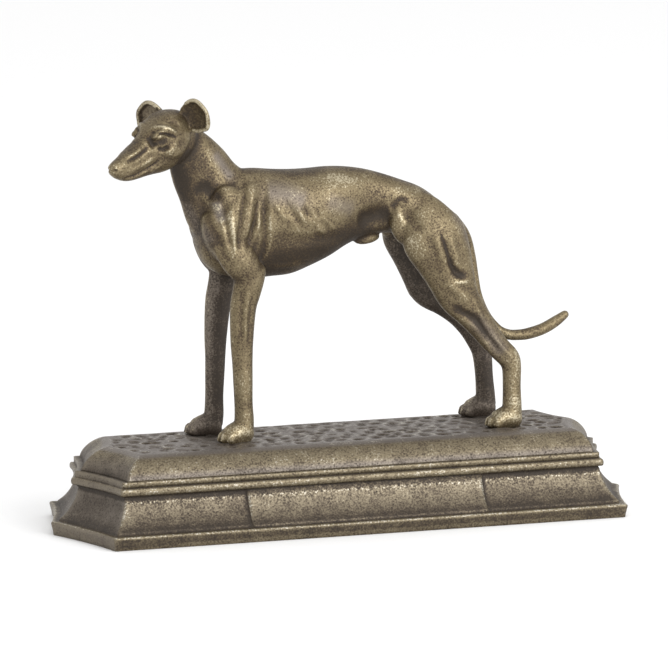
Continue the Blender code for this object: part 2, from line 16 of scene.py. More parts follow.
import bmesh
import bpy
import numpy as np
from mathutils import Matrix, Vector, noise

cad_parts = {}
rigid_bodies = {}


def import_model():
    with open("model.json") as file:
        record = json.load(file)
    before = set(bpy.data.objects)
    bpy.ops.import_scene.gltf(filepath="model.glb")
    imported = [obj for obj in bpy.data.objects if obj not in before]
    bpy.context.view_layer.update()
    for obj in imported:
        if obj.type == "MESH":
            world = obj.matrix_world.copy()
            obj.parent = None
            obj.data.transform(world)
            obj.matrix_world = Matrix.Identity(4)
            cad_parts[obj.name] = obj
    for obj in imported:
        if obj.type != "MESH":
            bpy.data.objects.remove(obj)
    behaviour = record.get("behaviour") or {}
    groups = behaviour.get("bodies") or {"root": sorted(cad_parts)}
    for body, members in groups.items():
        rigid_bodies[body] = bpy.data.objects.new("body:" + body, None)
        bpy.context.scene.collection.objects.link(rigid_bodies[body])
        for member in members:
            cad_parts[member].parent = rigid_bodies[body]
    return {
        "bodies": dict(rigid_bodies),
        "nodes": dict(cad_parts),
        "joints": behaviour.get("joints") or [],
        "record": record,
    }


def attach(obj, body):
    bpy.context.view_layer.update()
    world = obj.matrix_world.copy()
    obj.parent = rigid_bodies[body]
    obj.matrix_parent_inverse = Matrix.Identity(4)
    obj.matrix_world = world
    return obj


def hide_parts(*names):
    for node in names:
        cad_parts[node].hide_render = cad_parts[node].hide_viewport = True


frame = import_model()

LOG = logging.getLogger("greyhound_statue")
BODY = "root"

Row = tuple[float, ...]
Path = tuple[tuple[float, float], ...]


class Side(Enum):
    """Which side of the dog a form is on, with its sign along Y."""

    NEAR = -1
    FAR = 1


class Section(NamedTuple):
    """One upright cross-section of the trunk or head."""

    along: float
    top: float
    bottom: float
    half_width: float
    widest: float
    top_fullness: float
    bottom_fullness: float


class Station(NamedTuple):
    """One station of a limb, neck, tail or paw: its middle and its two half thicknesses."""

    x: float
    y: float
    z: float
    half_deep: float
    half_wide: float


class WayPoint(NamedTuple):
    """One point that a stroke's curve goes through."""

    along: float
    up: float


class Mass(NamedTuple):
    """A rounded muscle or bone: its middle, its three radii and its turn about the second axis."""

    centre: Row
    radii: Row
    turn: float = 0.0


class Stroke(NamedTuple):
    """A modelling stroke along a path: a groove where its depth is positive, a ridge where it is negative."""

    half_width: float
    depth: float
    path: Path


class PaintedLight(NamedTuple):
    """A soft zone of painted light along a path: a gold painted highlight where its strength is positive,
    dark painted shade where it is negative.
    """

    half_width: float
    strength: float
    path: Path


# Shared modelling tools


def new_object(bm: bmesh.types.BMesh, name: str) -> bpy.types.Object:
    """Puts a bmesh in a new scene object and frees it.

    Args:
        bm: The finished bmesh.
        name: The object's name.

    Returns:
        The linked object.
    """
    mesh = bpy.data.meshes.new(name)
    bm.to_mesh(mesh)
    bm.free()
    thing = bpy.data.objects.new(name, mesh)
    bpy.context.scene.collection.objects.link(thing)
    return thing


def apply_modifiers(thing: bpy.types.Object) -> None:
    """Makes an object's modifiers part of its mesh.

    Args:
        thing: The object.
    """
    bpy.context.view_layer.update()
    graph = bpy.context.evaluated_depsgraph_get()
    mesh = bpy.data.meshes.new_from_object(thing.evaluated_get(graph))
    thing.modifiers.clear()
    old, thing.data = thing.data, mesh
    bpy.data.meshes.remove(old)


def spline(stations: Sequence[NamedTuple], steps: int) -> list:
    """Fills in a Catmull-Rom curve through all the values of some stations.

    Args:
        stations: Rows of one NamedTuple type.
        steps: How many spans each gap is divided in.

    Returns:
        The stations with the new ones between them.
    """
    kind = type(stations[0])
    rows = np.array(stations, dtype=float)
    ends = np.vstack([2 * rows[0] - rows[1], rows, 2 * rows[-1] - rows[-2]])
    result = []
    for i in range(len(rows) - 1):
        a, b, c, d = ends[i : i + 4]
        for k in range(steps):
            t = k / steps
            cubic = 2 * b + (c - a) * t + (2 * a - 5 * b + 4 * c - d) * t**2 + (3 * b - a - 3 * c + d) * t**3
            result.append(kind(*(0.5 * cubic)))
    result.append(stations[-1])
    return result


def ring_edges(ring: Sequence[bmesh.types.BMVert]) -> list[bmesh.types.BMEdge]:
    """The edges that join each vertex of a closed ring to the next."""
    following = [*ring[1:], ring[0]]
    return [next(e for e in a.link_edges if e.other_vert(a) is b) for a, b in zip(ring, following)]


def loft(bm: bmesh.types.BMesh, loops: Sequence[Sequence[Vector]]) -> None:
    """Extrudes a first ring through the next ones and closes both ends.

    Args:
        bm: The bmesh that the skin is added to.
        loops: Rings of equally many points, in order.
    """
    first = bmesh.ops.create_circle(bm, cap_ends=False, segments=len(loops[0]), radius=1.0)["verts"]
    for vert, point in zip(first, loops[0]):
        vert.co = point
    ring = first
    for points in loops[1:]:
        made = bmesh.ops.extrude_edge_only(bm, edges=ring_edges(ring))["geom"]
        fresh = {item for item in made if isinstance(item, bmesh.types.BMVert)}
        ring = [next(e.other_vert(v) for e in v.link_edges if e.other_vert(v) in fresh) for v in ring]
        for vert, point in zip(ring, points):
            vert.co = point
    for end in (first, ring):
        bmesh.ops.contextual_create(bm, geom=ring_edges(end))


def bow(start: Row, end: Row, bulge: float, steps: int) -> list[Row]:
    """Points from start to end, both left out, on a bow that stands off their chord.

    Args:
        start: First point, in a plane.
        end: Last point.
        bulge: How far the bow's middle stands to the right of the chord.
        steps: How many spans the bow has.

    Returns:
        The points between the ends.
    """
    (ax, ay), (bx, by) = start, end
    length = math.hypot(bx - ax, by - ay)
    nx, ny = -(by - ay) / length, (bx - ax) / length
    points = []
    for k in range(1, steps):
        t = k / steps
        off = 4 * bulge * t * (1 - t)
        points.append((ax + (bx - ax) * t + nx * off, ay + (by - ay) * t + ny * off))
    return points


class Skin:
    """A mesh's points, normals and edges as arrays, for modelling and for measuring its form."""

    def __init__(self, thing: bpy.types.Object) -> None:
        """Reads the object's mesh.

        Args:
            thing: The object.
        """
        mesh = thing.data
        self.mesh = mesh
        self.points = np.empty(len(mesh.vertices) * 3)
        mesh.vertices.foreach_get("co", self.points)
        self.points = self.points.reshape(-1, 3)
        self.normals = np.empty(len(mesh.vertices) * 3)
        mesh.vertices.foreach_get("normal", self.normals)
        self.normals = self.normals.reshape(-1, 3)
        ends = np.empty(len(mesh.edges) * 2, dtype=np.int64)
        mesh.edges.foreach_get("vertices", ends)
        self.ends = ends.reshape(-1, 2)
        self.degree = np.maximum(np.bincount(ends, minlength=len(self.points)), 1)

    def blurred(self, values: np.ndarray, rounds: int) -> np.ndarray:
        """Averages values over neighbours.

        Args:
            values: One value or row per point.
            rounds: How many times the average is taken.

        Returns:
            The averaged values.
        """
        result = values.reshape(len(self.points), -1).copy()
        a, b = self.ends[:, 0], self.ends[:, 1]
        count = len(self.points)
        for _ in range(rounds):
            for column in range(result.shape[1]):
                value = result[:, column]
                total = np.bincount(a, value[b], count) + np.bincount(b, value[a], count)
                result[:, column] = 0.5 * value + 0.5 * total / self.degree
        return result.reshape(values.shape)

    def standing(self, rounds: int) -> np.ndarray:
        """How far each point stands proud of its blurred surroundings, along its normal, in metres."""
        return ((self.points - self.blurred(self.points, rounds)) * self.normals).sum(axis=1)

    def move(self, points: np.ndarray) -> None:
        """Moves the mesh's points and reads its new normals.

        Args:
            points: The new places, in metres.
        """
        self.points = points
        self.mesh.vertices.foreach_set("co", points.ravel())
        self.mesh.update()
        normals = np.empty(len(points) * 3)
        self.mesh.vertices.foreach_get("normal", normals)
        self.normals = normals.reshape(-1, 3)

    def paint(self, name: str, values: np.ndarray) -> None:
        """Stores one value per point as an attribute that a material can read."""
        layer = self.mesh.attributes.new(name, "FLOAT", "POINT")
        layer.data.foreach_set("value", values.astype(np.float32))


def soft_step(values: np.ndarray, low: float, high: float) -> np.ndarray:
    """A smooth rise from 0 at low to 1 at high."""
    t = np.clip((values - low) / (high - low), 0, 1)
    return t * t * (3 - 2 * t)


def trail(points: np.ndarray, path: Path, half_width: float, taper: float) -> np.ndarray:
    """How strongly each planar point feels a soft stroke, from 0 off it to 1 on its middle.

    Args:
        points: Places in the stroke's plane.
        path: The stroke's way points, which a smooth curve is drawn through.
        half_width: Where the stroke has faded to nothing.
        taper: The share of its length over which each end fades.

    Returns:
        One value per point.
    """
    way = spline([WayPoint(*place) for place in path], 6) if len(path) > 2 else path
    curve = np.array(way, dtype=float)
    lengths = np.concatenate([[0], np.cumsum(np.linalg.norm(np.diff(curve, axis=0), axis=1))])
    nearest = np.full(len(points), np.inf)
    share = np.zeros(len(points))
    for a, b, start, end in zip(curve, curve[1:], lengths, lengths[1:]):
        run = b - a
        along = np.clip((points - a) @ run / (run @ run), 0, 1)
        gap = np.linalg.norm(points - a - along[:, None] * run, axis=1)
        closer = gap < nearest
        share[closer] = (start + (end - start) * along[closer]) / lengths[-1]
        nearest = np.minimum(nearest, gap)
    fade = soft_step(np.minimum(share, 1 - share), -taper * 0.4, taper)
    return fade * (0.5 + 0.5 * np.cos(np.pi * np.minimum(nearest / half_width, 1)))


def lumps(points: np.ndarray, size: float, seed: float) -> np.ndarray:
    """Smooth unevenness between -1 and 1 at some points, for lumps of one size and one shift."""
    shift = Vector((seed, seed * 0.7, seed * 1.3))
    return np.array([noise.noise(Vector(p) / size + shift) for p in points])


# Finishes


class NodeSketch:
    """Adds and joins nodes in one node tree."""

    def __init__(self, tree: bpy.types.NodeTree) -> None:
        """Starts from a tree."""
        self.tree = tree

    def add(self, kind: str, **settings: object) -> bpy.types.Node:
        """A new node with some of its properties set.

        Args:
            kind: The node's type.
            settings: The properties that are set on it.

        Returns:
            The node.
        """
        node = self.tree.nodes.new(kind)
        for name, value in settings.items():
            setattr(node, name, value)
        return node

    def join(self, source: bpy.types.NodeSocket, target: bpy.types.NodeSocket) -> None:
        """Links an output to an input."""
        self.tree.links.new(source, target)

    def feed(self, socket: bpy.types.NodeSocket, value: object) -> None:
        """Links an input to a socket, or sets it where the value is plain.

        Args:
            socket: The input.
            value: An output socket or a plain value.
        """
        if isinstance(value, bpy.types.NodeSocket):
            self.join(value, socket)
        else:
            socket.default_value = value

    def maths(self, operation: str, *values: object, clamp: bool = False) -> bpy.types.NodeSocket:
        """The result of a Math node.

        Args:
            operation: The node's operation.
            values: Sockets or numbers, in order.
            clamp: Whether the result is held between 0 and 1.

        Returns:
            The node's output.
        """
        node = self.add("ShaderNodeMath", operation=operation, use_clamp=clamp)
        for socket, value in zip(node.inputs, values):
            self.feed(socket, value)
        return node.outputs[0]

    def blend(self, factor: object, first: object, second: object) -> bpy.types.NodeSocket:
        """The colour of a Mix node.

        Args:
            factor: The share of the second colour.
            first: The first colour.
            second: The second colour.

        Returns:
            The node's output.
        """
        node = self.add("ShaderNodeMix", data_type="RGBA", clamp_factor=True)
        self.feed(node.inputs[0], factor)
        self.feed(node.inputs[6], first)
        self.feed(node.inputs[7], second)
        return node.outputs[2]

    def ramp(
        self, value: object, low: float, high: float, to_low: float = 0.0, to_high: float = 1.0
    ) -> bpy.types.NodeSocket:
        """The result of a smooth Map Range node.

        Args:
            value: The input.
            low: Where the rise starts.
            high: Where it ends.
            to_low: The result at its start.
            to_high: The result at its end.

        Returns:
            The node's output.
        """
        node = self.add("ShaderNodeMapRange", interpolation_type="SMOOTHSTEP", clamp=True)
        for socket, item in zip(node.inputs, (value, low, high, to_low, to_high)):
            self.feed(socket, item)
        return node.outputs[0]

    def noise(self, place: object, scale: object, detail: float, roughness: float) -> bpy.types.NodeSocket:
        """The value of a Noise Texture.

        Args:
            place: The coordinates.
            scale: The noise's scale.
            detail: How many finer layers it has.
            roughness: How strong they are.

        Returns:
            The node's output.
        """
        node = self.add("ShaderNodeTexNoise", noise_dimensions="3D")
        self.feed(node.inputs["Vector"], place)
        self.feed(node.inputs["Scale"], scale)
        node.inputs["Detail"].default_value = detail
        node.inputs["Roughness"].default_value = roughness
        return node.outputs[0]


def group_tree(name: str, inputs: dict[str, tuple[str, object]], outputs: dict[str, str]) -> tuple:
    """A new shader node group with named sockets.

    Args:
        name: The group's name.
        inputs: Each input's socket type and its default value.
        outputs: Each output's socket type.

    Returns:
        The tree, a sketch of it, its input sockets and its output node.
    """
    tree = bpy.data.node_groups.new(name, "ShaderNodeTree")
    for label, (kind, value) in inputs.items():
        socket = tree.interface.new_socket(label, in_out="INPUT", socket_type=kind)
        if value is not None:
            socket.default_value = value
    for label, kind in outputs.items():
        tree.interface.new_socket(label, in_out="OUTPUT", socket_type=kind)
    sketch = NodeSketch(tree)
    entry = sketch.add("NodeGroupInput")
    exit_node = sketch.add("NodeGroupOutput")
    return tree, sketch, entry.outputs, exit_node.inputs


class CastGrain:
    """The sandy skin of the casting, as a node group: fine grain, open pores and their height."""

    grain_scale: float = 1150.0
    pore_scale: float = 760.0
    cloud_scale: float = 90.0

    def tree(self) -> bpy.types.NodeTree:
        """Builds the group.

        Returns:
            The group's tree.
        """
        tree, sketch, given, out = group_tree(
            "cast_grain",
            {"Place": ("NodeSocketVector", None), "Coarseness": ("NodeSocketFloat", 1.0)},
            {"Grain": "NodeSocketFloat", "Pores": "NodeSocketFloat", "Clouds": "NodeSocketFloat",
             "Height": "NodeSocketFloat"},
        )
        place, coarse = given["Place"], given["Coarseness"]
        grain = sketch.noise(place, sketch.maths("DIVIDE", self.grain_scale, coarse), 3.0, 0.6)
        cells = sketch.add("ShaderNodeTexVoronoi", feature="F1")
        sketch.join(place, cells.inputs["Vector"])
        sketch.join(sketch.maths("DIVIDE", self.pore_scale, coarse), cells.inputs["Scale"])
        pores = sketch.ramp(cells.outputs["Distance"], 0.16, 0.42, 1.0, 0.0)
        clouds = sketch.noise(place, self.cloud_scale, 4.0, 0.6)
        height = sketch.maths("SUBTRACT", grain, sketch.maths("MULTIPLY", pores, 0.45))
        for label, value in (("Grain", grain), ("Pores", pores), ("Clouds", clouds), ("Height", height)):
            sketch.join(value, out[label])
        return tree


class BrushedPatina:
    """The antique finish, as a node group: dark in the hollows and in painted shade, brushed with dull gold
    on the high places and in painted highlights, veiled grey with dust and painted sheen, with painted glints
    on the brightest specks.
    """

    def tree(self) -> bpy.types.NodeTree:
        """Builds the group.

        Returns:
            The group's tree.
        """
        colour = "NodeSocketColor"
        number = "NodeSocketFloat"
        tree, sketch, given, out = group_tree(
            "brushed_patina",
            {
                "Rubbed_and_painted_light": (number, 0.5),
                "Grain": (number, 0.5),
                "Pores": (number, 0.0),
                "Clouds": (number, 0.5),
                "Speckle": (number, 1.0),
                "Recess_and_shade": (colour, None),
                "Ground": (colour, None),
                "Gilt_and_highlight": (colour, None),
                "Glint": (colour, None),
                "Dust_and_sheen": (number, 0.0),
                "Dust_sheen_tone": (colour, None),
            },
            {"Color": colour, "Roughness": number, "Metallic": number},
        )
        swing = sketch.maths("MULTIPLY", sketch.maths("SUBTRACT", given["Grain"], 0.5), given["Speckle"])
        drift = sketch.maths("MULTIPLY", sketch.maths("SUBTRACT", given["Clouds"], 0.5), 0.7)
        level = sketch.maths("ADD", sketch.maths("ADD", given["Rubbed_and_painted_light"], swing), drift)
        level = sketch.maths("SUBTRACT", level, sketch.maths("MULTIPLY", given["Pores"], 0.22), clamp=True)
        # The darkest tone serves patina and painted shade, the gold tone gilding and painted highlights.
        low = sketch.blend(sketch.ramp(level, 0.0, 0.42), given["Recess_and_shade"], given["Ground"])
        high = sketch.blend(sketch.ramp(level, 0.30, 0.78), low, given["Gilt_and_highlight"])
        # A grey veil of dust and painted sheen over the colour.
        veil = sketch.maths("MULTIPLY", given["Dust_and_sheen"], sketch.ramp(level, 0.10, 0.60, 0.15, 0.85))
        dust_and_sheen_veiled = sketch.blend(veil, high, given["Dust_sheen_tone"])
        # Painted glints on the brightest specks.
        glint = sketch.ramp(level, 0.82, 1.05)
        sketch.join(sketch.blend(glint, dust_and_sheen_veiled, given["Glint"]), out["Color"])
        sketch.join(sketch.ramp(level, 0.0, 1.0, 0.62, 0.40), out["Roughness"])
        sketch.join(sketch.ramp(level, 0.0, 0.7, 0.35, 0.8), out["Metallic"])
        return tree


@dataclass(frozen=True)
class BronzeFinish:
    """One antique bronze finish: its five tones (dark patina and painted shade, ground, gold and painted
    highlights, painted glints, and a grey of dust and painted sheen), how speckled it is, and how coarse and
    deep its grain is.
    """

    name: str
    recess_and_shade: Row
    ground: Row
    gilt_and_highlight: Row
    glint: Row
    dust_sheen_tone: Row
    speckle: float
    coarseness: float
    relief: float

    def material(self, grain: bpy.types.NodeTree, patina: bpy.types.NodeTree) -> bpy.types.Material:
        """Makes the material.

        Args:
            grain: The cast grain group.
            patina: The brushed patina group.

        Returns:
            The material.
        """
        material = bpy.data.materials.new(self.name)
        material.use_nodes = True
        sketch = NodeSketch(material.node_tree)
        shader = material.node_tree.nodes["Principled BSDF"]
        place = sketch.add("ShaderNodeTexCoord").outputs["Object"]
        # The first attribute holds the rubbed wear of the finish together with painted highlights and painted
        # shade.
        rubbed_and_painted_light, dust_and_sheen, coarse = (
            sketch.add("ShaderNodeAttribute", attribute_name=name).outputs["Fac"]
            for name in ("rubbed_and_painted_light", "dust_and_sheen", "coarse")
        )
        skin = sketch.add("ShaderNodeGroup", node_tree=grain)
        sketch.join(place, skin.inputs["Place"])
        skin.inputs["Coarseness"].default_value = self.coarseness
        tones = sketch.add("ShaderNodeGroup", node_tree=patina)
        sketch.join(rubbed_and_painted_light, tones.inputs["Rubbed_and_painted_light"])
        for label in ("Grain", "Pores", "Clouds"):
            sketch.join(skin.outputs[label], tones.inputs[label])
        sketch.join(dust_and_sheen, tones.inputs["Dust_and_sheen"])
        sketch.join(sketch.maths("MULTIPLY", coarse, self.speckle), tones.inputs["Speckle"])
        for label in ("Recess_and_shade", "Ground", "Gilt_and_highlight", "Glint", "Dust_sheen_tone"):
            tones.inputs[label].default_value = (*getattr(self, label.lower()), 1.0)
        for target, label in (("Base Color", "Color"), ("Roughness", "Roughness"), ("Metallic", "Metallic")):
            sketch.join(tones.outputs[label], shader.inputs[target])
        bump = sketch.add("ShaderNodeBump")
        bump.inputs["Strength"].default_value = 0.6
        bump.inputs["Distance"].default_value = self.relief
        sketch.join(skin.outputs["Height"], bump.inputs["Height"])
        sketch.join(bump.outputs["Normal"], shader.inputs["Normal"])
        return material


# The darkest tone is patina and painted shade, the gold tone gilding and painted highlights, the brightest
# tone painted glints, and the grey tone dust and painted sheen.
DOG_FINISH = BronzeFinish(
    "greyhound_bronze",
    recess_and_shade=(0.027, 0.018, 0.010),
    ground=(0.070, 0.048, 0.027),
    gilt_and_highlight=(0.192, 0.152, 0.088),
    glint=(0.44, 0.385, 0.27),
    dust_sheen_tone=(0.165, 0.142, 0.128),
    speckle=1.35,
    coarseness=1.0,
    relief=0.00022,
)
PLINTH_FINISH = BronzeFinish(
    "plinth_bronze",
    recess_and_shade=(0.030, 0.021, 0.013),
    ground=(0.080, 0.060, 0.038),
    gilt_and_highlight=(0.196, 0.162, 0.106),
    glint=(0.42, 0.385, 0.32),
    dust_sheen_tone=(0.165, 0.146, 0.138),
    speckle=1.5,
    coarseness=1.1,
    relief=0.00025,
)


# Plinth


class Turning(NamedTuple):
    """One point of the plinth's moulding: its insets at the sides and at the ends, its height and shift."""

    inset: float
    end_inset: float
    height: float
    shift: float


@dataclass
class Plinth:
    """The moulded base: slab, hollow, bead, band, rounded shoulder, hammered top and bare front panel."""

    length: float = 0.304
    width: float = 0.1054
    end_point_depth: float = 0.0161
    end_hollow: float = 0.0016
    slab_height: float = 0.0070
    rim_foot_height: float = 0.0249
    rim_top_height: float = 0.0320
    height: float = 0.0432
    slab_foot_inset: float = 0.0015
    cove_foot_inset: float = 0.0040
    cove_neck_inset: float = 0.0137
    bead_inset: float = 0.0109
    band_inset: float = 0.0130
    shoulder_inset: float = 0.0141
    shoulder_end_inset: float = 0.0160
    flat_inset: float = 0.0258
    flat_end_inset: float = 0.0286
    rim_shift: float = -0.0009
    flat_shift: float = 0.0004
    shoulder_slack: float = 1.25
    arris: float = 0.0010
    cove_foot_step: float = 0.0010
    cove_hollow: float = 0.0016
    rim_soffit: float = 0.0014
    bead_height: float = 0.0040
    bead_turn: float = math.radians(70)
    bead_share: float = 0.46
    panel_width: float = 0.124
    panel_stand: float = 0.0011
    panel_side: float = 0.0004
    point_spacing: float = 0.0016
    ring_spacing: float = 0.0008
    cove_steps: int = 18
    shoulder_steps: int = 16
    dimple_spacing: float = 0.0086
    dimple_radius: float = 0.0040
    dimple_depth: float = 0.0012
    dimple_scatter: float = 0.30
    dimple_margin: float = 0.0016
    wave_size: float = 0.012
    wave_depth: float = 0.0003
    lump_size: float = 0.006
    unevenness: float = 0.00012
    flat_foot: float = 0.0005
    weld: float = 1e-6
    seed: int = 7

    def corners(self, inset: float, end_inset: float) -> list[Row]:
        """The plan's six corners at some insets, anticlockwise from above, from the near right one.

        Args:
            inset: How far the long sides stand in.
            end_inset: How far the ends stand in.

        Returns:
            The corners.
        """
        half_width = self.width / 2
        slope = math.atan2(self.end_point_depth, half_width)
        reach = self.length / 2 * math.cos(slope) - end_inset
        corner_y = half_width - inset
        corner_x = (reach - corner_y * math.sin(slope)) / math.cos(slope)
        right = [(corner_x, -corner_y), (reach / math.cos(slope), 0.0), (corner_x, corner_y)]
        return right + [(-x, -y) for x, y in right]

    def outline(self, turning: Turning) -> list[Vector]:
        """The plan at one height as evenly spread points, among them the corners and the panel's edges.

        Args:
            turning: The moulding's point at that height.

        Returns:
            The points.
        """
        corners = self.corners(turning.inset, turning.end_inset)
        end_steps = round(self.width / 2 / self.point_spacing)
        half_width = self.width / 2
        hollow = self.end_hollow * min(1.0, (half_width - turning.inset) / (half_width - self.flat_inset))
        points = []
        for half in (0, 3):
            first, point, last, opposite = (corners[(half + k) % 6] for k in range(4))
            points += [first, *bow(first, point, hollow, end_steps)]
            points += [point, *bow(point, last, hollow, end_steps), last]
            points += self.side_points(last, opposite)
        return [Vector((x + turning.shift, y, turning.height)) for x, y in points]

    def side_points(self, start: Row, end: Row) -> list[Row]:
        """Points between two corners of a long side, crowded at the panel's two edges.

        Args:
            start: The first corner.
            end: The second corner.

        Returns:
            The points, without the two corners.
        """
        half = self.panel_width / 2
        sign = math.copysign(1, start[0])
        stops = [start[0], sign * (half + self.panel_side), sign * half, -sign * half]
        stops += [-sign * (half + self.panel_side), end[0]]
        result = []
        for a, b in zip(stops, stops[1:]):
            reach = self.length / 2 - half if abs(a) != abs(b) else self.panel_width
            beside = abs(abs(a) - abs(b)) <= self.panel_side * 1.01 and a * b > 0
            steps = 1 if beside else round(reach / self.point_spacing)
            result += [a + (b - a) * k / steps for k in range(steps)]
        return [(x, start[1]) for x in result[1:]]

    def slab_profile(self) -> list[Row]:
        """The slab's edge and the hollow above it, as pairs of inset and height.

        Returns:
            The pairs, upwards.
        """
        top, third = self.slab_height, self.arris / 3
        points = [(self.slab_foot_inset, 0.0), (self.slab_foot_inset - third, third)]
        points += [(self.slab_foot_inset * (1 - k / 6), top * k / 7) for k in range(2, 6)]
        points += [(0.0, top - self.arris), (third / 3, top - 2 * third), (third, top - third)]
        points += [(2 * third, top - third / 3), (self.arris, top), (self.arris * 2, top)]
        points += [(self.cove_foot_inset, top)]
        foot = (self.cove_foot_inset + third / 2, top + self.cove_foot_step)
        neck = (self.cove_neck_inset, self.rim_foot_height - self.rim_soffit)
        return [*points, foot, *bow(foot, neck, -self.cove_hollow, self.cove_steps), neck]

    def rim_profile(self) -> list[Row]:
        """The bead and the band, as pairs of inset and height.

        Returns:
            The pairs, upwards.
        """
        foot, top, third = self.rim_foot_height, self.rim_top_height, self.arris / 3
        bead_mid = foot + self.bead_height / 2
        bead_top = foot + self.bead_height
        side = (self.band_inset - self.bead_inset) / 2
        middle = self.bead_inset + side
        groove = self.band_inset + third
        points = [(self.cove_neck_inset, foot - third), (self.band_inset, foot), (middle, foot + third / 2)]
        for k in range(-3, 4):
            turn = k / 3 * self.bead_turn
            swell = math.sin(turn) * self.bead_height * self.bead_share
            points.append((middle - side * math.cos(turn), bead_mid + swell))
        points += [(groove, bead_top - third / 4), (groove, bead_top + third / 2)]
        points += [(self.band_inset, bead_top + third), (self.band_inset, top - 2 * third)]
        return [*points, (groove, top - third / 2), (self.shoulder_inset + third, top - third / 2)]

    def shoulder_profile(self) -> list[Turning]:
        """The rounded shoulder from the rim up to the flat.

        Returns:
            The turnings, upwards.
        """
        turnings = []
        for k in range(self.shoulder_steps + 1):
            angle = math.pi / 2 * k / self.shoulder_steps
            across = 1 - max(math.cos(angle), 0.0) ** self.shoulder_slack
            up = math.sin(angle) ** self.shoulder_slack
            inset = self.shoulder_inset + (self.flat_inset - self.shoulder_inset) * across
            end_inset = self.shoulder_end_inset + (self.flat_end_inset - self.shoulder_end_inset) * across
            height = self.rim_top_height + (self.height - self.rim_top_height) * up
            turnings.append(Turning(inset, end_inset, height, 0.0))
        return turnings

    def profile(self) -> list[Turning]:
        """The moulding from the underside up to the flat's rim.

        Returns:
            The turnings, upwards.
        """
        turnings = []
        for inset, height in self.slab_profile() + self.rim_profile():
            above_bead = height - self.rim_foot_height > self.bead_height * 0.7
            end_inset = min(inset, self.band_inset) if above_bead else inset
            turnings.append(Turning(inset, end_inset, height, 0.0))
        turnings[-1] = turnings[-1]._replace(end_inset=self.shoulder_end_inset + self.arris / 3)
        turnings += self.shoulder_profile()
        foot, top = self.rim_foot_height, self.rim_top_height
        levels = (foot - self.rim_soffit, foot, top, self.height)
        shifts = (0.0, self.rim_shift, self.rim_shift, self.flat_shift)
        return [t._replace(shift=float(np.interp(t.height, levels, shifts))) for t in turnings]

    def top_rings(self) -> list[Turning]:
        """Rings that close in over the flat top to its middle line.

        Returns:
            The turnings, inwards.
        """
        reach = self.width / 2 - self.flat_inset
        count = round(reach / self.ring_spacing)
        rings = []
        for k in range(1, count + 1):
            step = min(reach * k / count, reach - self.weld / 4)
            insets = (self.flat_inset + step, self.flat_end_inset + step)
            rings.append(Turning(*insets, self.height, self.flat_shift))
        return rings

    def close_top(self, bm: bmesh.types.BMesh) -> None:
        """Joins the two sides of the last ring along the top's middle line.

        Args:
            bm: The plinth's bmesh.
        """
        caps = [f for f in bm.faces if len(f.verts) > 4 and f.calc_center_median().z > self.height / 2]
        bmesh.ops.delete(bm, geom=caps, context="FACES_ONLY")
        bmesh.ops.remove_doubles(bm, verts=[v for v in bm.verts if v.is_boundary], dist=self.weld)

    def dimples(self, points: np.ndarray) -> np.ndarray:
        """How deep the hammered top lies at some points.

        Args:
            points: Places on the flat top, in metres.

        Returns:
            The depth below the top, in metres.
        """
        chance = random.Random(self.seed)
        depth = np.zeros(len(points))
        half_length = self.length / 2 - self.flat_end_inset
        half_width = self.width / 2 - self.flat_inset
        row_spacing = self.dimple_spacing * math.sqrt(3) / 2
        rows, places = int(half_width / row_spacing), int(half_length / self.dimple_spacing)
        for row in range(-rows, rows + 1):
            for place in range(-places, places + 1):
                drift = [chance.uniform(-self.dimple_scatter, self.dimple_scatter) for _ in range(2)]
                x = (place + 0.5 * (row % 2) + drift[0]) * self.dimple_spacing
                y = (row + drift[1]) * row_spacing
                size, deep = self.dimple_radius * chance.uniform(0.75, 1.2), chance.uniform(0.45, 1.0)
                turn, long = chance.uniform(0, math.pi), chance.uniform(1.0, 1.35)
                near = (np.abs(points[:, 0] - x) < size * 1.4) & (np.abs(points[:, 1] - y) < size * 1.4)
                dx, dy = points[near, 0] - x, points[near, 1] - y
                along = (dx * math.cos(turn) + dy * math.sin(turn)) / (size * long)
                across = (dy * math.cos(turn) - dx * math.sin(turn)) * long / size
                gap = np.sqrt(along**2 + across**2)
                bowl = (1 - soft_step(gap, 0.25, 1.0)) * deep - 0.14 * np.exp(-(((gap - 1.0) / 0.22) ** 2))
                depth[near] = np.where(np.abs(bowl) > np.abs(depth[near]), bowl, depth[near])
        return depth * self.dimple_depth

    def rim_distance(self, points: np.ndarray) -> np.ndarray:
        """How far inside the flat top's outline points lie, in metres.

        Args:
            points: Places on the flat top, in metres.

        Returns:
            The distances.
        """
        slope = math.atan2(self.end_point_depth, self.width / 2)
        along = np.abs(points[:, 0] - self.flat_shift)
        end = (self.length / 2 - along) * math.cos(slope) - np.abs(points[:, 1]) * math.sin(slope)
        side = self.width / 2 - np.abs(points[:, 1])
        return np.minimum(side - self.flat_inset, end - self.end_hollow - self.flat_end_inset)

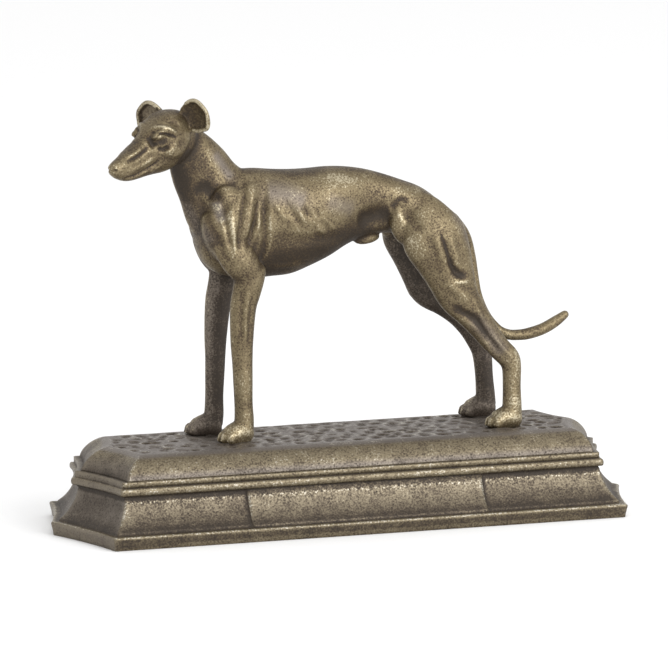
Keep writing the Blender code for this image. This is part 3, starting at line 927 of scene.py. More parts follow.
    def model(self, skin: Skin) -> None:
        """Raises the panel, hammers the top and makes the casting slightly uneven.

        Args:
            skin: The plinth's skin, which is moved.
        """
        points = skin.points.copy()
        half = self.panel_width / 2
        across = soft_step(np.abs(points[:, 0]), half + self.panel_side * 1.01, half)
        low = soft_step(points[:, 2], self.slab_height - self.arris, self.slab_height + self.cove_foot_step)
        high = 1 - soft_step(points[:, 2], self.rim_foot_height - self.rim_soffit, self.rim_foot_height)
        slab_edge = -self.width / 2 + self.cove_foot_inset * 0.9
        front = (points[:, 1] < -self.width / 4) * (points[:, 1] > slab_edge)
        points[:, 1] -= self.panel_stand * across * low * high * front
        flat = points[:, 2] > self.height - 1e-5
        inner = soft_step(self.rim_distance(points), 0.0, self.dimple_margin) * flat
        waves = lumps(points[flat], self.wave_size, 3.1) * self.wave_depth
        points[flat, 2] += (waves - self.dimples(points[flat])) * inner[flat]
        above = points[:, 2] > self.flat_foot
        points += skin.normals * (lumps(points, self.lump_size, 9.7) * self.unevenness * above)[:, None]
        skin.move(points)

    def build(self) -> bpy.types.Object:
        """Builds and dresses the plinth.

        Returns:
            The plinth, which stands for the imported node.
        """
        bm = bmesh.new()
        loft(bm, [self.outline(turning) for turning in self.profile() + self.top_rings()])
        self.close_top(bm)
        bmesh.ops.recalc_face_normals(bm, faces=bm.faces)
        bmesh.ops.triangulate(bm, faces=[f for f in bm.faces if len(f.verts) > 4])
        for face in bm.faces:
            face.smooth = True
        thing = new_object(bm, "plinth_cast")
        skin = Skin(thing)
        self.model(skin)
        self.shade(skin)
        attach(thing, BODY)
        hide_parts("plinth")
        return thing

    def shade(self, skin: Skin) -> None:
        """Paints the finish from dark to gold: high on arrises, low in the hollows, with painted shade under
        the rim, on the ends, on faces that look down and beside the panel.

        Args:
            skin: The plinth's skin, which is painted.
        """
        fine = skin.standing(3) / 0.00006
        broad = skin.standing(40) / 0.0009
        up = skin.normals[:, 2]
        x, z = skin.points[:, 0], skin.points[:, 2]
        end = soft_step(np.abs(skin.normals[:, 0]), 0.45, 0.8)
        brim = self.height - self.dimple_depth
        flat = soft_step(up, 0.75, 0.95) * soft_step(z, brim - 0.6 * self.dimple_depth, brim)
        rubbed_and_painted_light = 0.56 + 0.16 * np.clip(fine, -1.5, 1.5) * (1 - 0.6 * end) + 0.20 * np.clip(broad, -1.2, 1.0)
        # Painted shade: faces that look down and the end faces are darker.
        rubbed_and_painted_light += 0.10 * np.minimum(up, 0) - 0.12 * end
        # Painted shadow, with some patina, in a band under the rim.
        soffit = soft_step(z, self.rim_foot_height - 0.0030, self.rim_foot_height - 0.0020)
        soffit *= 1 - soft_step(z, self.rim_foot_height, self.rim_foot_height + 0.0006)
        toe = 1 - soft_step(z, self.slab_height + 0.0006, self.slab_height + 0.0050)
        toe *= z > self.slab_height + 0.0002
        brink = soft_step(z, self.height - 0.0020, self.height - 0.0007) * (1 - flat)
        # Painted shade and a painted grey sheen on the foot of the shoulder.
        foot = (1 - soft_step(z, self.rim_top_height + 0.0010, self.rim_top_height + 0.0045))
        foot *= z > self.rim_top_height + 0.0003
        shoulder = (z > self.rim_top_height + 0.0003) * (1 - flat)
        slab = 1 - soft_step(z, self.slab_height - 0.0012, self.slab_height - 0.0004)
        panel = soft_step(np.abs(x), self.panel_width / 2 + self.panel_side, self.panel_width / 2)
        cove = (z > self.slab_height + 0.0002) * (z < self.rim_foot_height - self.rim_soffit)
        # Painted shadow beside the raised panel's two edges.
        panel_shadow = 1 - soft_step(np.abs(np.abs(x) - self.panel_width / 2 - 0.0009), 0.0002, 0.0010)
        rubbed_and_painted_light -= 0.52 * soffit * (1 - 0.5 * end) + 0.34 * toe + 0.30 * brink * (1 - end)
        mould = (z > self.rim_foot_height) * (z < self.rim_top_height)
        rubbed_and_painted_light -= 0.10 * shoulder + 0.10 * foot + (0.40 - 0.40 * end) * slab + 0.18 * mould * (1 - end)
        front = cove * (skin.normals[:, 1] < -0.3)
        low = 1 - soft_step(z, self.slab_height + 0.0020, self.slab_height + 0.0110)
        rubbed_and_painted_light += front * (0.04 + 0.08 * panel * (1 - toe) - 0.40 * panel_shadow - 0.16 * low)
        # Painted glints: a band of bright specks under the rim's painted shadow.
        glint_band = soft_step(z, self.rim_foot_height - 0.0050, self.rim_foot_height - 0.0034)
        glint_band *= 1 - soft_step(z, self.rim_foot_height - 0.0030, self.rim_foot_height - 0.0024)
        # A grey veil: painted sheen on the flat top, dust and painted sheen on the ends, the shoulder's foot
        # and the hollow.
        dust_and_sheen = 0.85 * flat + 0.40 * end + 0.70 * foot * (1 - end) + 0.15 * cove
        skin.paint("rubbed_and_painted_light", np.clip(rubbed_and_painted_light + 0.10 * glint_band, 0, 1))
        skin.paint("dust_and_sheen", np.clip(dust_and_sheen, 0, 1))
        skin.paint("coarse", np.clip(1 - 0.6 * end - 0.35 * flat + 1.2 * glint_band * (1 - end), 0, 2.5))


# Greyhound


@dataclass
class Trunk:
    """The dog's trunk, from the breast bone back to the buttocks."""

    sections: tuple[Section, ...] = (
        Section(-427, 640, 575, 34, 605, 2, 2),
        Section(-411, 690, 524, 60, 605, 2, 2),
        Section(-375, 735, 488, 80, 610, 2, 2),
        Section(-324, 775, 470, 92, 620, 2.2, 2),
        Section(-263, 783, 462, 98, 630, 2.2, 1.8),
        Section(-198, 777, 464, 102, 640, 2.2, 1.7),
        Section(-142, 773, 468, 105, 645, 2.3, 1.7),
        Section(-86, 773, 487, 103, 655, 2.3, 1.7),
        Section(-26, 776, 513, 95, 665, 2.3, 1.8),
        Section(30, 773, 545, 80, 675, 2.3, 1.9),
        Section(85, 764, 566, 66, 680, 2.3, 2),
        Section(141, 748, 574, 64, 670, 2.3, 2.2),
        Section(202, 726, 565, 76, 650, 2.2, 2.2),
        Section(262, 701, 540, 84, 620, 2.1, 2.2),
        Section(323, 653, 510, 80, 590, 2, 2.1),
        Section(368, 600, 490, 60, 550, 2, 2),
        Section(399, 552, 492, 32, 524, 2, 2),
    )
    ring_points: int = 48
    steps: int = 5

    def add(self, bm: bmesh.types.BMesh) -> None:
        """Adds the trunk as one loft of upright sections.

        Args:
            bm: The bmesh that the trunk is added to.
        """
        loops = []
        for section in spline(self.sections, self.steps):
            ring = section_points(section, self.ring_points)
            loops.append([Vector((section.along, side, level)) for side, level in ring])
        loft(bm, loops)


def section_points(section: Section, count: int) -> list[Row]:
    """Points round an egg-shaped section, as (across, up) pairs.

    Args:
        section: The section.
        count: How many points the ring has.

    Returns:
        The points.
    """
    points = []
    for k in range(count):
        angle = 2 * math.pi * k / count
        across, up = math.cos(angle), math.sin(angle)
        full = section.top_fullness if up >= 0 else section.bottom_fullness
        reach = section.top - section.widest if up >= 0 else section.widest - section.bottom
        side = math.copysign(abs(across) ** (2 / full), across) * section.half_width
        points.append((side, section.widest + math.copysign(abs(up) ** (2 / full), up) * reach))
    return points


def oval(
    centre: Vector, deep: Vector, wide: Vector, half_deep: float, half_wide: float, count: int
) -> list[Vector]:
    """Points round an oval with its two half-axes along deep and wide."""
    turns = [2 * math.pi * k / count for k in range(count)]
    return [centre + deep * (math.cos(t) * half_deep) + wide * (math.sin(t) * half_wide) for t in turns]


@dataclass
class Limb:
    """A rod-like form through some stations, with domed ends, whose two ends the shift slides along X."""

    stations: tuple[Station, ...]
    side: Side = Side.NEAR
    shift: tuple[float, float] = (0.0, 0.0)
    ring_points: int = 28
    steps: int = 5
    dome_rings: tuple[Row, ...] = ((0.78, 0.45), (0.42, 0.7))

    def add(self, bm: bmesh.types.BMesh) -> None:
        """Adds the form as a loft of ovals square to its path.

        Args:
            bm: The bmesh that the limb is added to.
        """
        stations = spline(self.stations, self.steps)
        high, low = stations[0].z, stations[-1].z
        places = []
        for s in stations:
            fall = (high - s.z) / (high - low)
            slide = self.shift[0] + (self.shift[1] - self.shift[0]) * fall
            places.append(Vector((s.x + slide, -self.side.value * s.y, s.z)))
        loops = []
        last = len(stations) - 1
        for i, s in enumerate(stations):
            path = (places[min(i + 1, last)] - places[max(i - 1, 0)]).normalized()
            deep = path.cross(Vector((0, 1, 0))).normalized()
            wide = deep.cross(path).normalized()
            ring = oval(places[i], deep, wide, s.half_deep, s.half_wide, self.ring_points)
            domes = []
            outward = -path if i == 0 else path
            for scale, reach in self.dome_rings if i in (0, last) else ():
                centre = places[i] + outward * (s.half_wide * reach)
                halves = (s.half_deep * scale, s.half_wide * scale)
                domes.append(oval(centre, deep, wide, *halves, self.ring_points))
            loops += [*reversed(domes), ring] if i == 0 else [ring, *domes]
        loft(bm, loops)


def add_mass(bm: bmesh.types.BMesh, place: Matrix, mass: Mass, detail: int = 4) -> None:
    """Adds a rounded mass in a frame.

    Args:
        bm: The bmesh that the mass is added to.
        place: The frame that it lies in.
        mass: The mass.
        detail: The subdivisions of its sphere.
    """
    matrix = place @ Matrix.Translation(mass.centre) @ Matrix.Rotation(mass.turn, 4, "Y")
    matrix = matrix @ Matrix.Diagonal((*mass.radii, 1.0))
    bmesh.ops.create_icosphere(bm, subdivisions=detail, radius=1.0, matrix=matrix)


@dataclass
class Paw:
    """A paw with four arched toes and blunt claws."""

    x: float
    y: float
    turn: float
    stations: tuple[Station, ...] = (
        Station(25, 0, 22, 16, 20),
        Station(13, 0, 25, 33, 27),
        Station(-18, 0, 25, 36, 31),
        Station(-44, 0, 21, 31, 31),
        Station(-61, 0, 17, 22, 27),
        Station(-69, 0, 14, 13, 18),
    )
    toes: tuple[Row, ...] = ((-22, -52), (-7.5, -65), (7.5, -67), (22, -55))
    toe_radii: Row = (15.5, 9, 18)
    toe_height: float = 15
    knuckle_radii: Row = (19, 8.5, 18)
    knuckle_back: float = 21
    knuckle_rise: float = 15
    knuckle_closing: float = 0.9
    knuckle_tilt: float = 0.5
    claw_radii: Row = (7, 4, 5)
    claw_reach: float = 12
    claw_height: float = 9
    claw_opening: float = 1.04
    claw_tilt: float = -0.35
    ring_points: int = 24

    def add(self, bm: bmesh.types.BMesh) -> None:
        """Adds the paw's body, toes, knuckles and claws.

        Args:
            bm: The bmesh that the paw is added to.
        """
        loops = []
        turning = Matrix.Rotation(self.turn, 4, "Z")
        here = Matrix.Translation((self.x, self.y, 0)) @ turning
        up, across = Vector((0, 0, 1)), turning @ Vector((0, 1, 0))
        for s in spline(self.stations, 4):
            centre = here @ Vector((s.x, 0, s.z))
            loops.append(oval(centre, up, across, s.half_deep, s.half_wide, self.ring_points))
        loft(bm, loops)
        for side, along in self.toes:
            rise = self.toe_height + self.knuckle_rise
            knuckle = (along + self.knuckle_back, side * self.knuckle_closing, rise)
            claw = (along - self.claw_reach, side * self.claw_opening, self.claw_height)
            for mass in (
                Mass((along, side, self.toe_height), self.toe_radii),
                Mass(knuckle, self.knuckle_radii, self.knuckle_tilt),
                Mass(claw, self.claw_radii, self.claw_tilt),
            ):
                add_mass(bm, here, mass, 3)


class EarRib(NamedTuple):
    """One rib of an ear: how far out, its lower and upper edge, its hollow and half its thickness."""

    out: float
    low: float
    high: float
    hollow: float
    half_thick: float


@dataclass
class Ear:
    """A thick ear held out to the side, hollow at the front."""

    side: float
    level: float
    sweep: float
    lift: float
    # How much painted light the ear's hollow gets.
    hollow_light: float
    ribs: tuple[EarRib, ...] = (
        EarRib(-14, -24, 30, 6, 9),
        EarRib(4, -32, 52, 15, 8),
        EarRib(24, -37, 66, 19, 7),
        EarRib(44, -37, 66, 17, 6.5),
        EarRib(62, -32, 52, 12, 6),
        EarRib(75, -26, 34, 7, 5),
        EarRib(83, -16, 12, 2, 3),
    )
    along: float = 48
    across: float = 48
    steps: int = 18
    edge: float = 0.02
    fold: float = 7.0
    fold_stand: float = 3.0
    fold_points: int = 10

    def frame(self, place: Matrix) -> Matrix:
        """The ear's frame on the head: out along the ear, up across it, and forward out of its hollow.

        Args:
            place: The head's frame.

        Returns:
            The frame.
        """
        root = Vector((self.along, self.across * self.side, self.level))
        across = Vector((-math.sin(self.sweep), self.side * math.cos(self.sweep), 0))
        facing = Vector((math.cos(self.sweep), self.side * math.sin(self.sweep), 0))
        outward = across * math.cos(self.lift) + Vector((0, 0, math.sin(self.lift)))
        upward = Vector((0, 0, math.cos(self.lift))) - across * math.sin(self.lift)
        turn = Matrix((outward, upward, facing)).transposed().to_4x4()
        return place @ Matrix.Translation(root) @ turn

    def rim(self) -> list[WayPoint]:
        """The middle of the fold along the ear's edge, from the upper root round the tip to the lower.

        Returns:
            The curve's points.
        """
        upper = [WayPoint(rib.out, rib.high - self.fold) for rib in self.ribs[1:-1]]
        tip = WayPoint(self.ribs[-1].out - self.fold, (self.ribs[-1].low + self.ribs[-1].high) / 2)
        lower = [WayPoint(rib.out, rib.low + self.fold) for rib in reversed(self.ribs[2:-1])]
        return spline([*upper, tip, *lower], 5)

    def add_fold(self, bm: bmesh.types.BMesh, frame: Matrix) -> None:
        """Adds the fold as a thin rod along the ear's edge.

        Args:
            bm: The bmesh that the fold is added to.
            frame: The ear's frame.
        """
        way = [Vector((point.along, point.up, self.fold_stand)) for point in self.rim()]
        ahead = Vector((0, 0, 1))
        loops = []
        for i, centre in enumerate(way):
            path = (way[min(i + 1, len(way) - 1)] - way[max(i - 1, 0)]).normalized()
            ring = oval(centre, path.cross(ahead), ahead, self.fold, self.fold, self.fold_points)
            loops.append([frame @ point for point in ring])
        loft(bm, loops)

    def add(self, bm: bmesh.types.BMesh, place: Matrix) -> None:
        """Adds the ear in the head's frame.

        Args:
            bm: The bmesh that the ear is added to.
            place: The head's frame.
        """
        frame = self.frame(place)
        self.add_fold(bm, frame)
        loops = []
        for rib in spline(self.ribs, 3):
            loop = []
            for face in (1, -1):
                for k in range(self.steps + 1):
                    u = (-1 + 2 * k / self.steps) * face
                    thick = face * rib.half_thick * math.sqrt(max(1 - u**4, self.edge))
                    height = (rib.low + rib.high) / 2 + u * (rib.high - rib.low) / 2
                    depth = thick - rib.hollow * (1 - u * u)
                    loop.append(frame @ Vector((rib.out, height, depth)))
            loops.append(loop)
        loft(bm, loops)


@dataclass
class Head:
    """The narrow head, turned to the near side and a little down, with its ears, brows, cheeks and eyes."""

    poll: Row = (-458, -7, 908)
    turn: float = math.radians(27.5)
    drop: float = math.radians(11)
    sections: tuple[Section, ...] = (
        Section(-10, 20, -44, 32, -6, 2.0, 2.0),
        Section(14, 56, -66, 52, 0, 2.2, 2.2),
        Section(50, 73, -80, 62, 0, 2.5, 2.2),
        Section(92, 76, -90, 64, 4, 2.6, 2.2),
        Section(130, 64, -92, 58, 8, 2.7, 2.2),
        Section(160, 48, -88, 46, 2, 2.6, 2.3),
        Section(195, 28, -84, 37, -12, 2.4, 2.4),
        Section(232, 13, -82, 32, -22, 2.3, 2.4),
        Section(270, 2, -76, 28, -30, 2.3, 2.4),
        Section(302, -7, -60, 23, -31, 2.2, 2.3),
        Section(321, -13, -43, 15, -29, 2.0, 2.0),
    )
    brow: Mass = Mass((146, 45, 33), (32, 13, 13), 0.2)
    cheek: Mass = Mass((100, 50, -26), (44, 17, 26))
    eyeball: Mass = Mass((152, 39, 7), (13, 11, 11))
    nose: Mass = Mass((314, 0, -22), (11, 14, 11), 0.3)
    ring_points: int = 40
    steps: int = 5
    ears: tuple[Ear, ...] = (
        Ear(1, 48, math.radians(15), math.radians(-6), 0.10),
        Ear(-1, 27, math.radians(-10), 0.0, 0.34),
    )
    strokes: tuple[Stroke, ...] = (
        Stroke(8, -5, ((172, 40), (160, 50), (140, 52), (118, 40), (98, 20))),
        Stroke(5, 7, ((174, 32), (160, 39), (136, 30), (106, 12))),
        Stroke(12, 9, ((176, 30), (180, 14), (172, -2))),
        Stroke(6, 5, ((166, -5), (152, -10), (134, -5))),
        Stroke(7, -3, ((166, -17), (148, -23), (126, -15))),
        Stroke(9, 5, ((276, -14), (230, -8), (190, 9))),
        Stroke(7, -3, ((268, -3), (236, 2), (206, 13))),
        Stroke(10, -3, ((275, -41), (240, -40), (205, -34), (176, -28))),
        Stroke(6, 7, ((290, -58), (255, -62), (219, -58), (192, -52), (168, -42))),
        Stroke(9, -3, ((197, -69), (174, -64), (150, -57))),
        Stroke(5, 6, ((322, -26), (312, -29))),
        Stroke(16, 4, ((96, -92), (76, -56), (50, -28), (34, 4))),
        Stroke(14, -3, ((150, -34), (128, -16), (100, 3))),
        Stroke(12, 3, ((120, 62), (100, 54), (84, 38))),
    )
    # Painted light and shade on the face: painted shade under the jaw and chin and in its creases, painted
    # highlights on the brow, the lips and the cheek.
    light_and_shade: tuple[PaintedLight, ...] = (
        PaintedLight(40, -0.50, ((70, -92), (44, -58), (14, -26), (-14, 12))),
        PaintedLight(30, -0.30, ((110, -92), (76, -66), (46, -34))),
        PaintedLight(14, -0.55, ((178, 34), (174, 16), (156, 10), (134, 12))),
        PaintedLight(9, -0.40, ((166, -6), (150, -12), (132, -8))),
        PaintedLight(6, -0.45, ((166, 42), (150, 38), (130, 30), (104, 12))),
        PaintedLight(8, -0.50, ((292, -58), (255, -62), (219, -58), (192, -52), (168, -42))),
        PaintedLight(9, -0.35, ((278, -15), (230, -9), (190, 8))),
        PaintedLight(18, -0.45, ((322, -44), (302, -66), (270, -80), (232, -84))),
        PaintedLight(10, 0.28, ((170, 46), (150, 54), (124, 46), (100, 26))),
        PaintedLight(14, 0.22, ((275, -38), (240, -40), (205, -36), (176, -30))),
        PaintedLight(12, 0.18, ((146, -32), (122, -16), (100, 4))),
        PaintedLight(14, -0.22, ((122, 68), (100, 62), (80, 52))),
    )

    def place(self) -> Matrix:
        """The head's frame on the dog: the first axis from nape to nose, the second to the dog's left."""
        forward = Matrix.Rotation(math.pi + self.turn, 4, "Z") @ Matrix.Rotation(self.drop, 4, "Y")
        return Matrix.Translation(self.poll) @ forward

    def add(self, bm: bmesh.types.BMesh) -> None:
        """Adds the skull with its masses and both ears.

        Args:
            bm: The bmesh that the head is added to.
        """
        place = self.place()
        loops = []
        for section in spline(self.sections, self.steps):
            ring = section_points(section, self.ring_points)
            loops.append([place @ Vector((section.along, side, level)) for side, level in ring])
        loft(bm, loops)
        add_mass(bm, place, self.nose)
        for side in (1, -1):
            for mass in (self.brow, self.cheek, self.eyeball):
                along, across, up = mass.centre
                add_mass(bm, place, mass._replace(centre=(along, across * side, up)))
        for ear in self.ears:
            ear.add(bm, place)


@dataclass
class Greyhound:
    """The standing dog: its masses joined in one skin, carved, and cut flat under its paws."""

    height: float = 0.1735
    midline: float = 0.0042
    ground: float = 0.0432
    sole_sink: float = 0.0005
    voxel: float = 0.00045
    body_smoothing: int = 30
    head_smoothing: int = 14
    paw_smoothing: int = 5
    triangles: int = 190000
    body_widening: float = 1.5
    head_widening: float = 1.15
    stroke_taper: float = 0.3
    carve_reach: float = 1.6
    # How the zones of painted light and shade fade at their ends, and how far round the form they reach.
    light_taper: float = 0.12
    light_reach: float = 2.0
    trunk: Trunk = field(default_factory=Trunk)
    head: Head = field(default_factory=Head)
    neck: tuple[Station, ...] = (
        Station(-470, -9, 885, 52, 46),
        Station(-446, -7, 842, 73, 47),
        Station(-419, -4, 795, 89, 50),
        Station(-390, 0, 746, 98, 55),
        Station(-354, 0, 693, 118, 68),
        Station(-312, 0, 645, 126, 80),
    )
    tail: tuple[Station, ...] = (
        Station(351, 0, 600, 28, 28),
        Station(393, 0, 552, 22, 22),
        Station(414, 0, 492, 18, 18),
        Station(426, 0, 430, 16, 16),
        Station(438, 0, 372, 15.5, 15.5),
        Station(465, 0, 312, 15.5, 15.5),
        Station(502, 0, 268, 16, 16),
        Station(534, 0, 252, 16.5, 16.5),
        Station(562, 0, 249, 16.5, 16.5),
        Station(596, 0, 251, 17, 17),
        Station(643, 0, 263, 17, 17),
        Station(683, 0, 283, 16, 16),
        Station(714, 0, 303, 12, 12),
    )
    shoulder_blade: tuple[Station, ...] = (
        Station(-252, -51, 738, 24, 16),
        Station(-277, -68, 712, 42, 22),
        Station(-316, -79, 665, 52, 28),
        Station(-350, -82, 610, 52, 30),
        Station(-370, -79, 575, 40, 26),
    )
    upper_arm: tuple[Station, ...] = (
        Station(-380, -75, 608, 28, 22),
        Station(-364, -82, 580, 44, 28),
        Station(-326, -86, 530, 52, 32),
        Station(-293, -82, 492, 46, 30),
    )
    foreleg: tuple[Station, ...] = (
        Station(-287, -77, 505, 48, 30),
        Station(-292, -78, 470, 46, 31),
        Station(-300, -75, 430, 43, 30),
        Station(-309, -73, 387, 40, 28),
        Station(-312, -71, 293, 35, 25),
        Station(-310, -70, 225, 31, 24),
        Station(-309, -70, 186, 30, 25),
        Station(-307, -70, 113, 28, 23),
        Station(-305, -70, 62, 29, 24),
        Station(-307, -70, 30, 30, 26),
    )
    thigh: tuple[Station, ...] = (
        Station(239, -46, 672, 40, 20),
        Station(250, -62, 640, 64, 32),
        Station(262, -73, 600, 88, 41),
        Station(276, -79, 560, 98, 44),
        Station(303, -85, 499, 86, 41),
        Station(329, -88, 430, 70, 37),
        Station(347, -91, 384, 62, 32),
    )
    near_gaskin: tuple[Station, ...] = (
        Station(327, -88, 420, 64, 36),
        Station(347, -91, 384, 58, 32),
        Station(376, -92, 350, 51, 29),
        Station(408, -93, 308, 43, 26),
        Station(440, -94, 266, 38, 23),
        Station(475, -95, 226, 35, 22),
        Station(500, -96, 200, 34, 23),
        Station(509, -96, 172, 30, 23),
        Station(509, -97, 120, 28, 22),
        Station(510, -98, 62, 29, 24),
        Station(510, -98, 30, 30, 26),
    )
    far_gaskin: tuple[Station, ...] = (
        Station(303, -88, 420, 62, 36),
        Station(323, -91, 384, 57, 32),
        Station(370, -92, 352, 51, 29),
        Station(416, -93, 310, 43, 26),
        Station(451, -94, 266, 38, 23),
        Station(474, -95, 226, 35, 22),
        Station(486, -96, 200, 33, 23),
        Station(491, -96, 172, 30, 23),
        Station(496, -97, 120, 28, 22),
        Station(501, -98, 62, 29, 24),
        Station(503, -98, 30, 30, 26),
    )
    far_fore_shift: tuple[float, float] = (-19, -46)
    far_thigh_shift: tuple[float, float] = (6, -27)
    fore_paw_turn: float = math.radians(12)
    hind_paw_turn: float = math.radians(4)
    sheath: Mass = Mass((96, 0, 558), (42, 16, 16), -0.15)
    shoulder_point: Mass = Mass((-386, 60, 600), (36, 42, 78), -0.35)
    shoulder_fill: Mass = Mass((-352, 62, 690), (52, 30, 58), -0.3)
    flank_fold: Mass = Mass((176, 60, 600), (30, 22, 58), -0.3)
    strokes: tuple[Stroke, ...] = (
        Stroke(12, 5, ((-437, 745), (-425, 690), (-413, 641), (-384, 567), (-354, 513))),
        Stroke(20, 6, ((-430, 748), (-402, 728), (-374, 714))),
        Stroke(20, -4, ((-396, 694), (-384, 668), (-376, 640))),
        Stroke(9, 6, ((-298, 765), (-318, 693), (-330, 622), (-336, 558))),
        Stroke(10, -3.5, ((-348, 712), (-354, 666), (-352, 617), (-342, 545))),
        Stroke(8, 4, ((-376, 705), (-372, 640), (-356, 565))),
        Stroke(9, -3.5, ((-274, 757), (-293, 692), (-305, 626), (-318, 563))),
        Stroke(7, 5, ((-263, 719), (-278, 656), (-299, 591))),
        Stroke(8, -3, ((-260, 665), (-276, 610), (-300, 545))),
        Stroke(13, 8, ((-246, 747), (-252, 661), (-248, 574), (-262, 500))),
        Stroke(9, -3, ((-222, 694), (-206, 668), (-186, 640))),
        Stroke(9, 3, ((-190, 700), (-168, 660), (-142, 622))),
        Stroke(9, -3, ((-158, 690), (-144, 660), (-126, 622))),
        Stroke(9, 3, ((-140, 684), (-114, 645), (-84, 606))),
        Stroke(10, -4, ((-122, 650), (-96, 622), (-60, 588))),
        Stroke(8, 3, ((-100, 668), (-74, 634), (-40, 602))),
        Stroke(9, -3.5, ((-90, 650), (-62, 626), (-28, 598))),
        Stroke(20, 4, ((-212, 588), (-145, 582), (-81, 580), (-24, 582), (20, 600))),
        Stroke(10, -2, ((-215, 506), (-165, 502), (-116, 503))),
        Stroke(32, 13, ((40, 622), (86, 628), (146, 644))),
        Stroke(11, 2.5, ((148, 655), (172, 678), (198, 676))),
        Stroke(12, -2, ((160, 668), (172, 632), (186, 598))),
        Stroke(14, 3, ((198, 640), (210, 608), (224, 590))),
        Stroke(24, -1.5, ((190, 582), (212, 548), (242, 508))),
        Stroke(6, 3, ((279, 580), (294, 535), (308, 492), (322, 462))),
        Stroke(10, 5, ((302, 510), (316, 478), (346, 449))),
        Stroke(14, 4, ((312, 480), (330, 462), (360, 456))),
        Stroke(13, -4, ((262, 580), (276, 530), (290, 485))),
        Stroke(13, -4, ((306, 582), (320, 530), (336, 482))),
        Stroke(10, -3, ((318, 442), (340, 436), (368, 436))),
        Stroke(15, -4, ((296, 440), (334, 408), (372, 374))),
        Stroke(14, 8, ((312, 372), (348, 346), (390, 318), (430, 270), (468, 212))),
        Stroke(8, -4, ((378, 392), (398, 346), (420, 296), (468, 240), (500, 206))),
        Stroke(9, 3, ((-318, 452), (-324, 380), (-322, 300))),
        Stroke(8, -2.5, ((-304, 440), (-310, 360), (-310, 280))),
        Stroke(7, 2.5, ((-292, 430), (-298, 350), (-300, 270))),
    )
    # Painted light and shade on the body: painted shade under the ribs and belly, on the neck, in the flank's
    # hollow and in the creases of the thigh, painted highlights on the neck, the shoulder, the ribs, the
    # back, the thigh and the lower legs.
    light_and_shade: tuple[PaintedLight, ...] = (
        PaintedLight(70, -0.45, ((-262, 520), (-189, 530), (-117, 534), (-40, 550), (36, 572), (110, 580))),
        PaintedLight(40, -0.22, ((-240, 470), (-120, 478), (0, 530))),
        PaintedLight(50, -0.48, ((-478, 850), (-484, 815), (-500, 780), (-474, 735))),
        PaintedLight(50, -0.34, ((-500, 800), (-478, 740), (-450, 680), (-425, 620), (-398, 556))),
        PaintedLight(80, -0.20, ((-440, 860), (-420, 800), (-395, 740))),
        PaintedLight(36, -0.38, ((-440, 752), (-405, 730), (-368, 708))),
        PaintedLight(16, 0.30, ((-443, 868), (-458, 835), (-474, 796))),
        PaintedLight(24, 0.24, ((-425, 872), (-404, 838), (-380, 790), (-366, 752))),
        PaintedLight(20, 0.26, ((-394, 696), (-384, 668), (-378, 640))),
        PaintedLight(16, 0.18, ((-372, 640), (-366, 590), (-352, 540))),
        PaintedLight(13, 0.16, ((-358, 690), (-352, 617), (-344, 557))),
        PaintedLight(36, -0.40, ((42, 622), (90, 630), (148, 644))),
        PaintedLight(14, -0.30, ((150, 655), (174, 677), (200, 672))),
        PaintedLight(14, 0.20, ((162, 662), (174, 630), (184, 600))),
        PaintedLight(18, -0.18, ((198, 622), (208, 602), (226, 590))),
        PaintedLight(30, 0.16, ((187, 580), (212, 548), (240, 512))),
        PaintedLight(26, 0.18, ((150, 708), (208, 704), (250, 694))),
        PaintedLight(70, -0.10, ((252, 640), (276, 560), (303, 500))),
        PaintedLight(9, -0.30, ((281, 575), (295, 530), (308, 490))),
        PaintedLight(16, -0.45, ((302, 510), (316, 478), (346, 449))),
        PaintedLight(24, -0.34, ((312, 474), (334, 458), (362, 456))),
        PaintedLight(10, 0.22, ((318, 442), (340, 436), (368, 436))),
        PaintedLight(24, -0.42, ((316, 369), (346, 347), (387, 322), (430, 270))),
        PaintedLight(26, 0.14, ((295, 442), (332, 408), (370, 378))),
        PaintedLight(20, 0.16, ((-244, 763), (-98, 759), (37, 742), (150, 720))),
        PaintedLight(38, 0.10, ((-200, 690), (-120, 660), (-60, 640), (0, 660))),
        PaintedLight(34, 0.20, ((509, 172), (509, 110), (510, 40))),
        PaintedLight(40, 0.16, ((-310, 230), (-309, 120), (-320, 20))),
    )
    # Grey veils of dust and painted sheen on the back, the neck, the shoulder, the chest, the ribs, the rump
    # and the hind leg.
    dust_and_sheen_zones: tuple[PaintedLight, ...] = (
        PaintedLight(50, 0.75, ((-240, 722), (-180, 716), (-125, 690))),
        PaintedLight(26, 0.85, ((-385, 840), (-352, 790), (-330, 762))),
        PaintedLight(22, 0.95, ((-394, 704), (-385, 672), (-380, 645))),
        PaintedLight(24, 0.70, ((-470, 700), (-440, 640), (-410, 580))),
        PaintedLight(40, 0.50, ((-60, 690), (-10, 672), (30, 660))),
        PaintedLight(30, 0.55, ((330, 640), (362, 590), (380, 540))),
        PaintedLight(40, 0.60, ((380, 330), (430, 280), (480, 215))),
    )

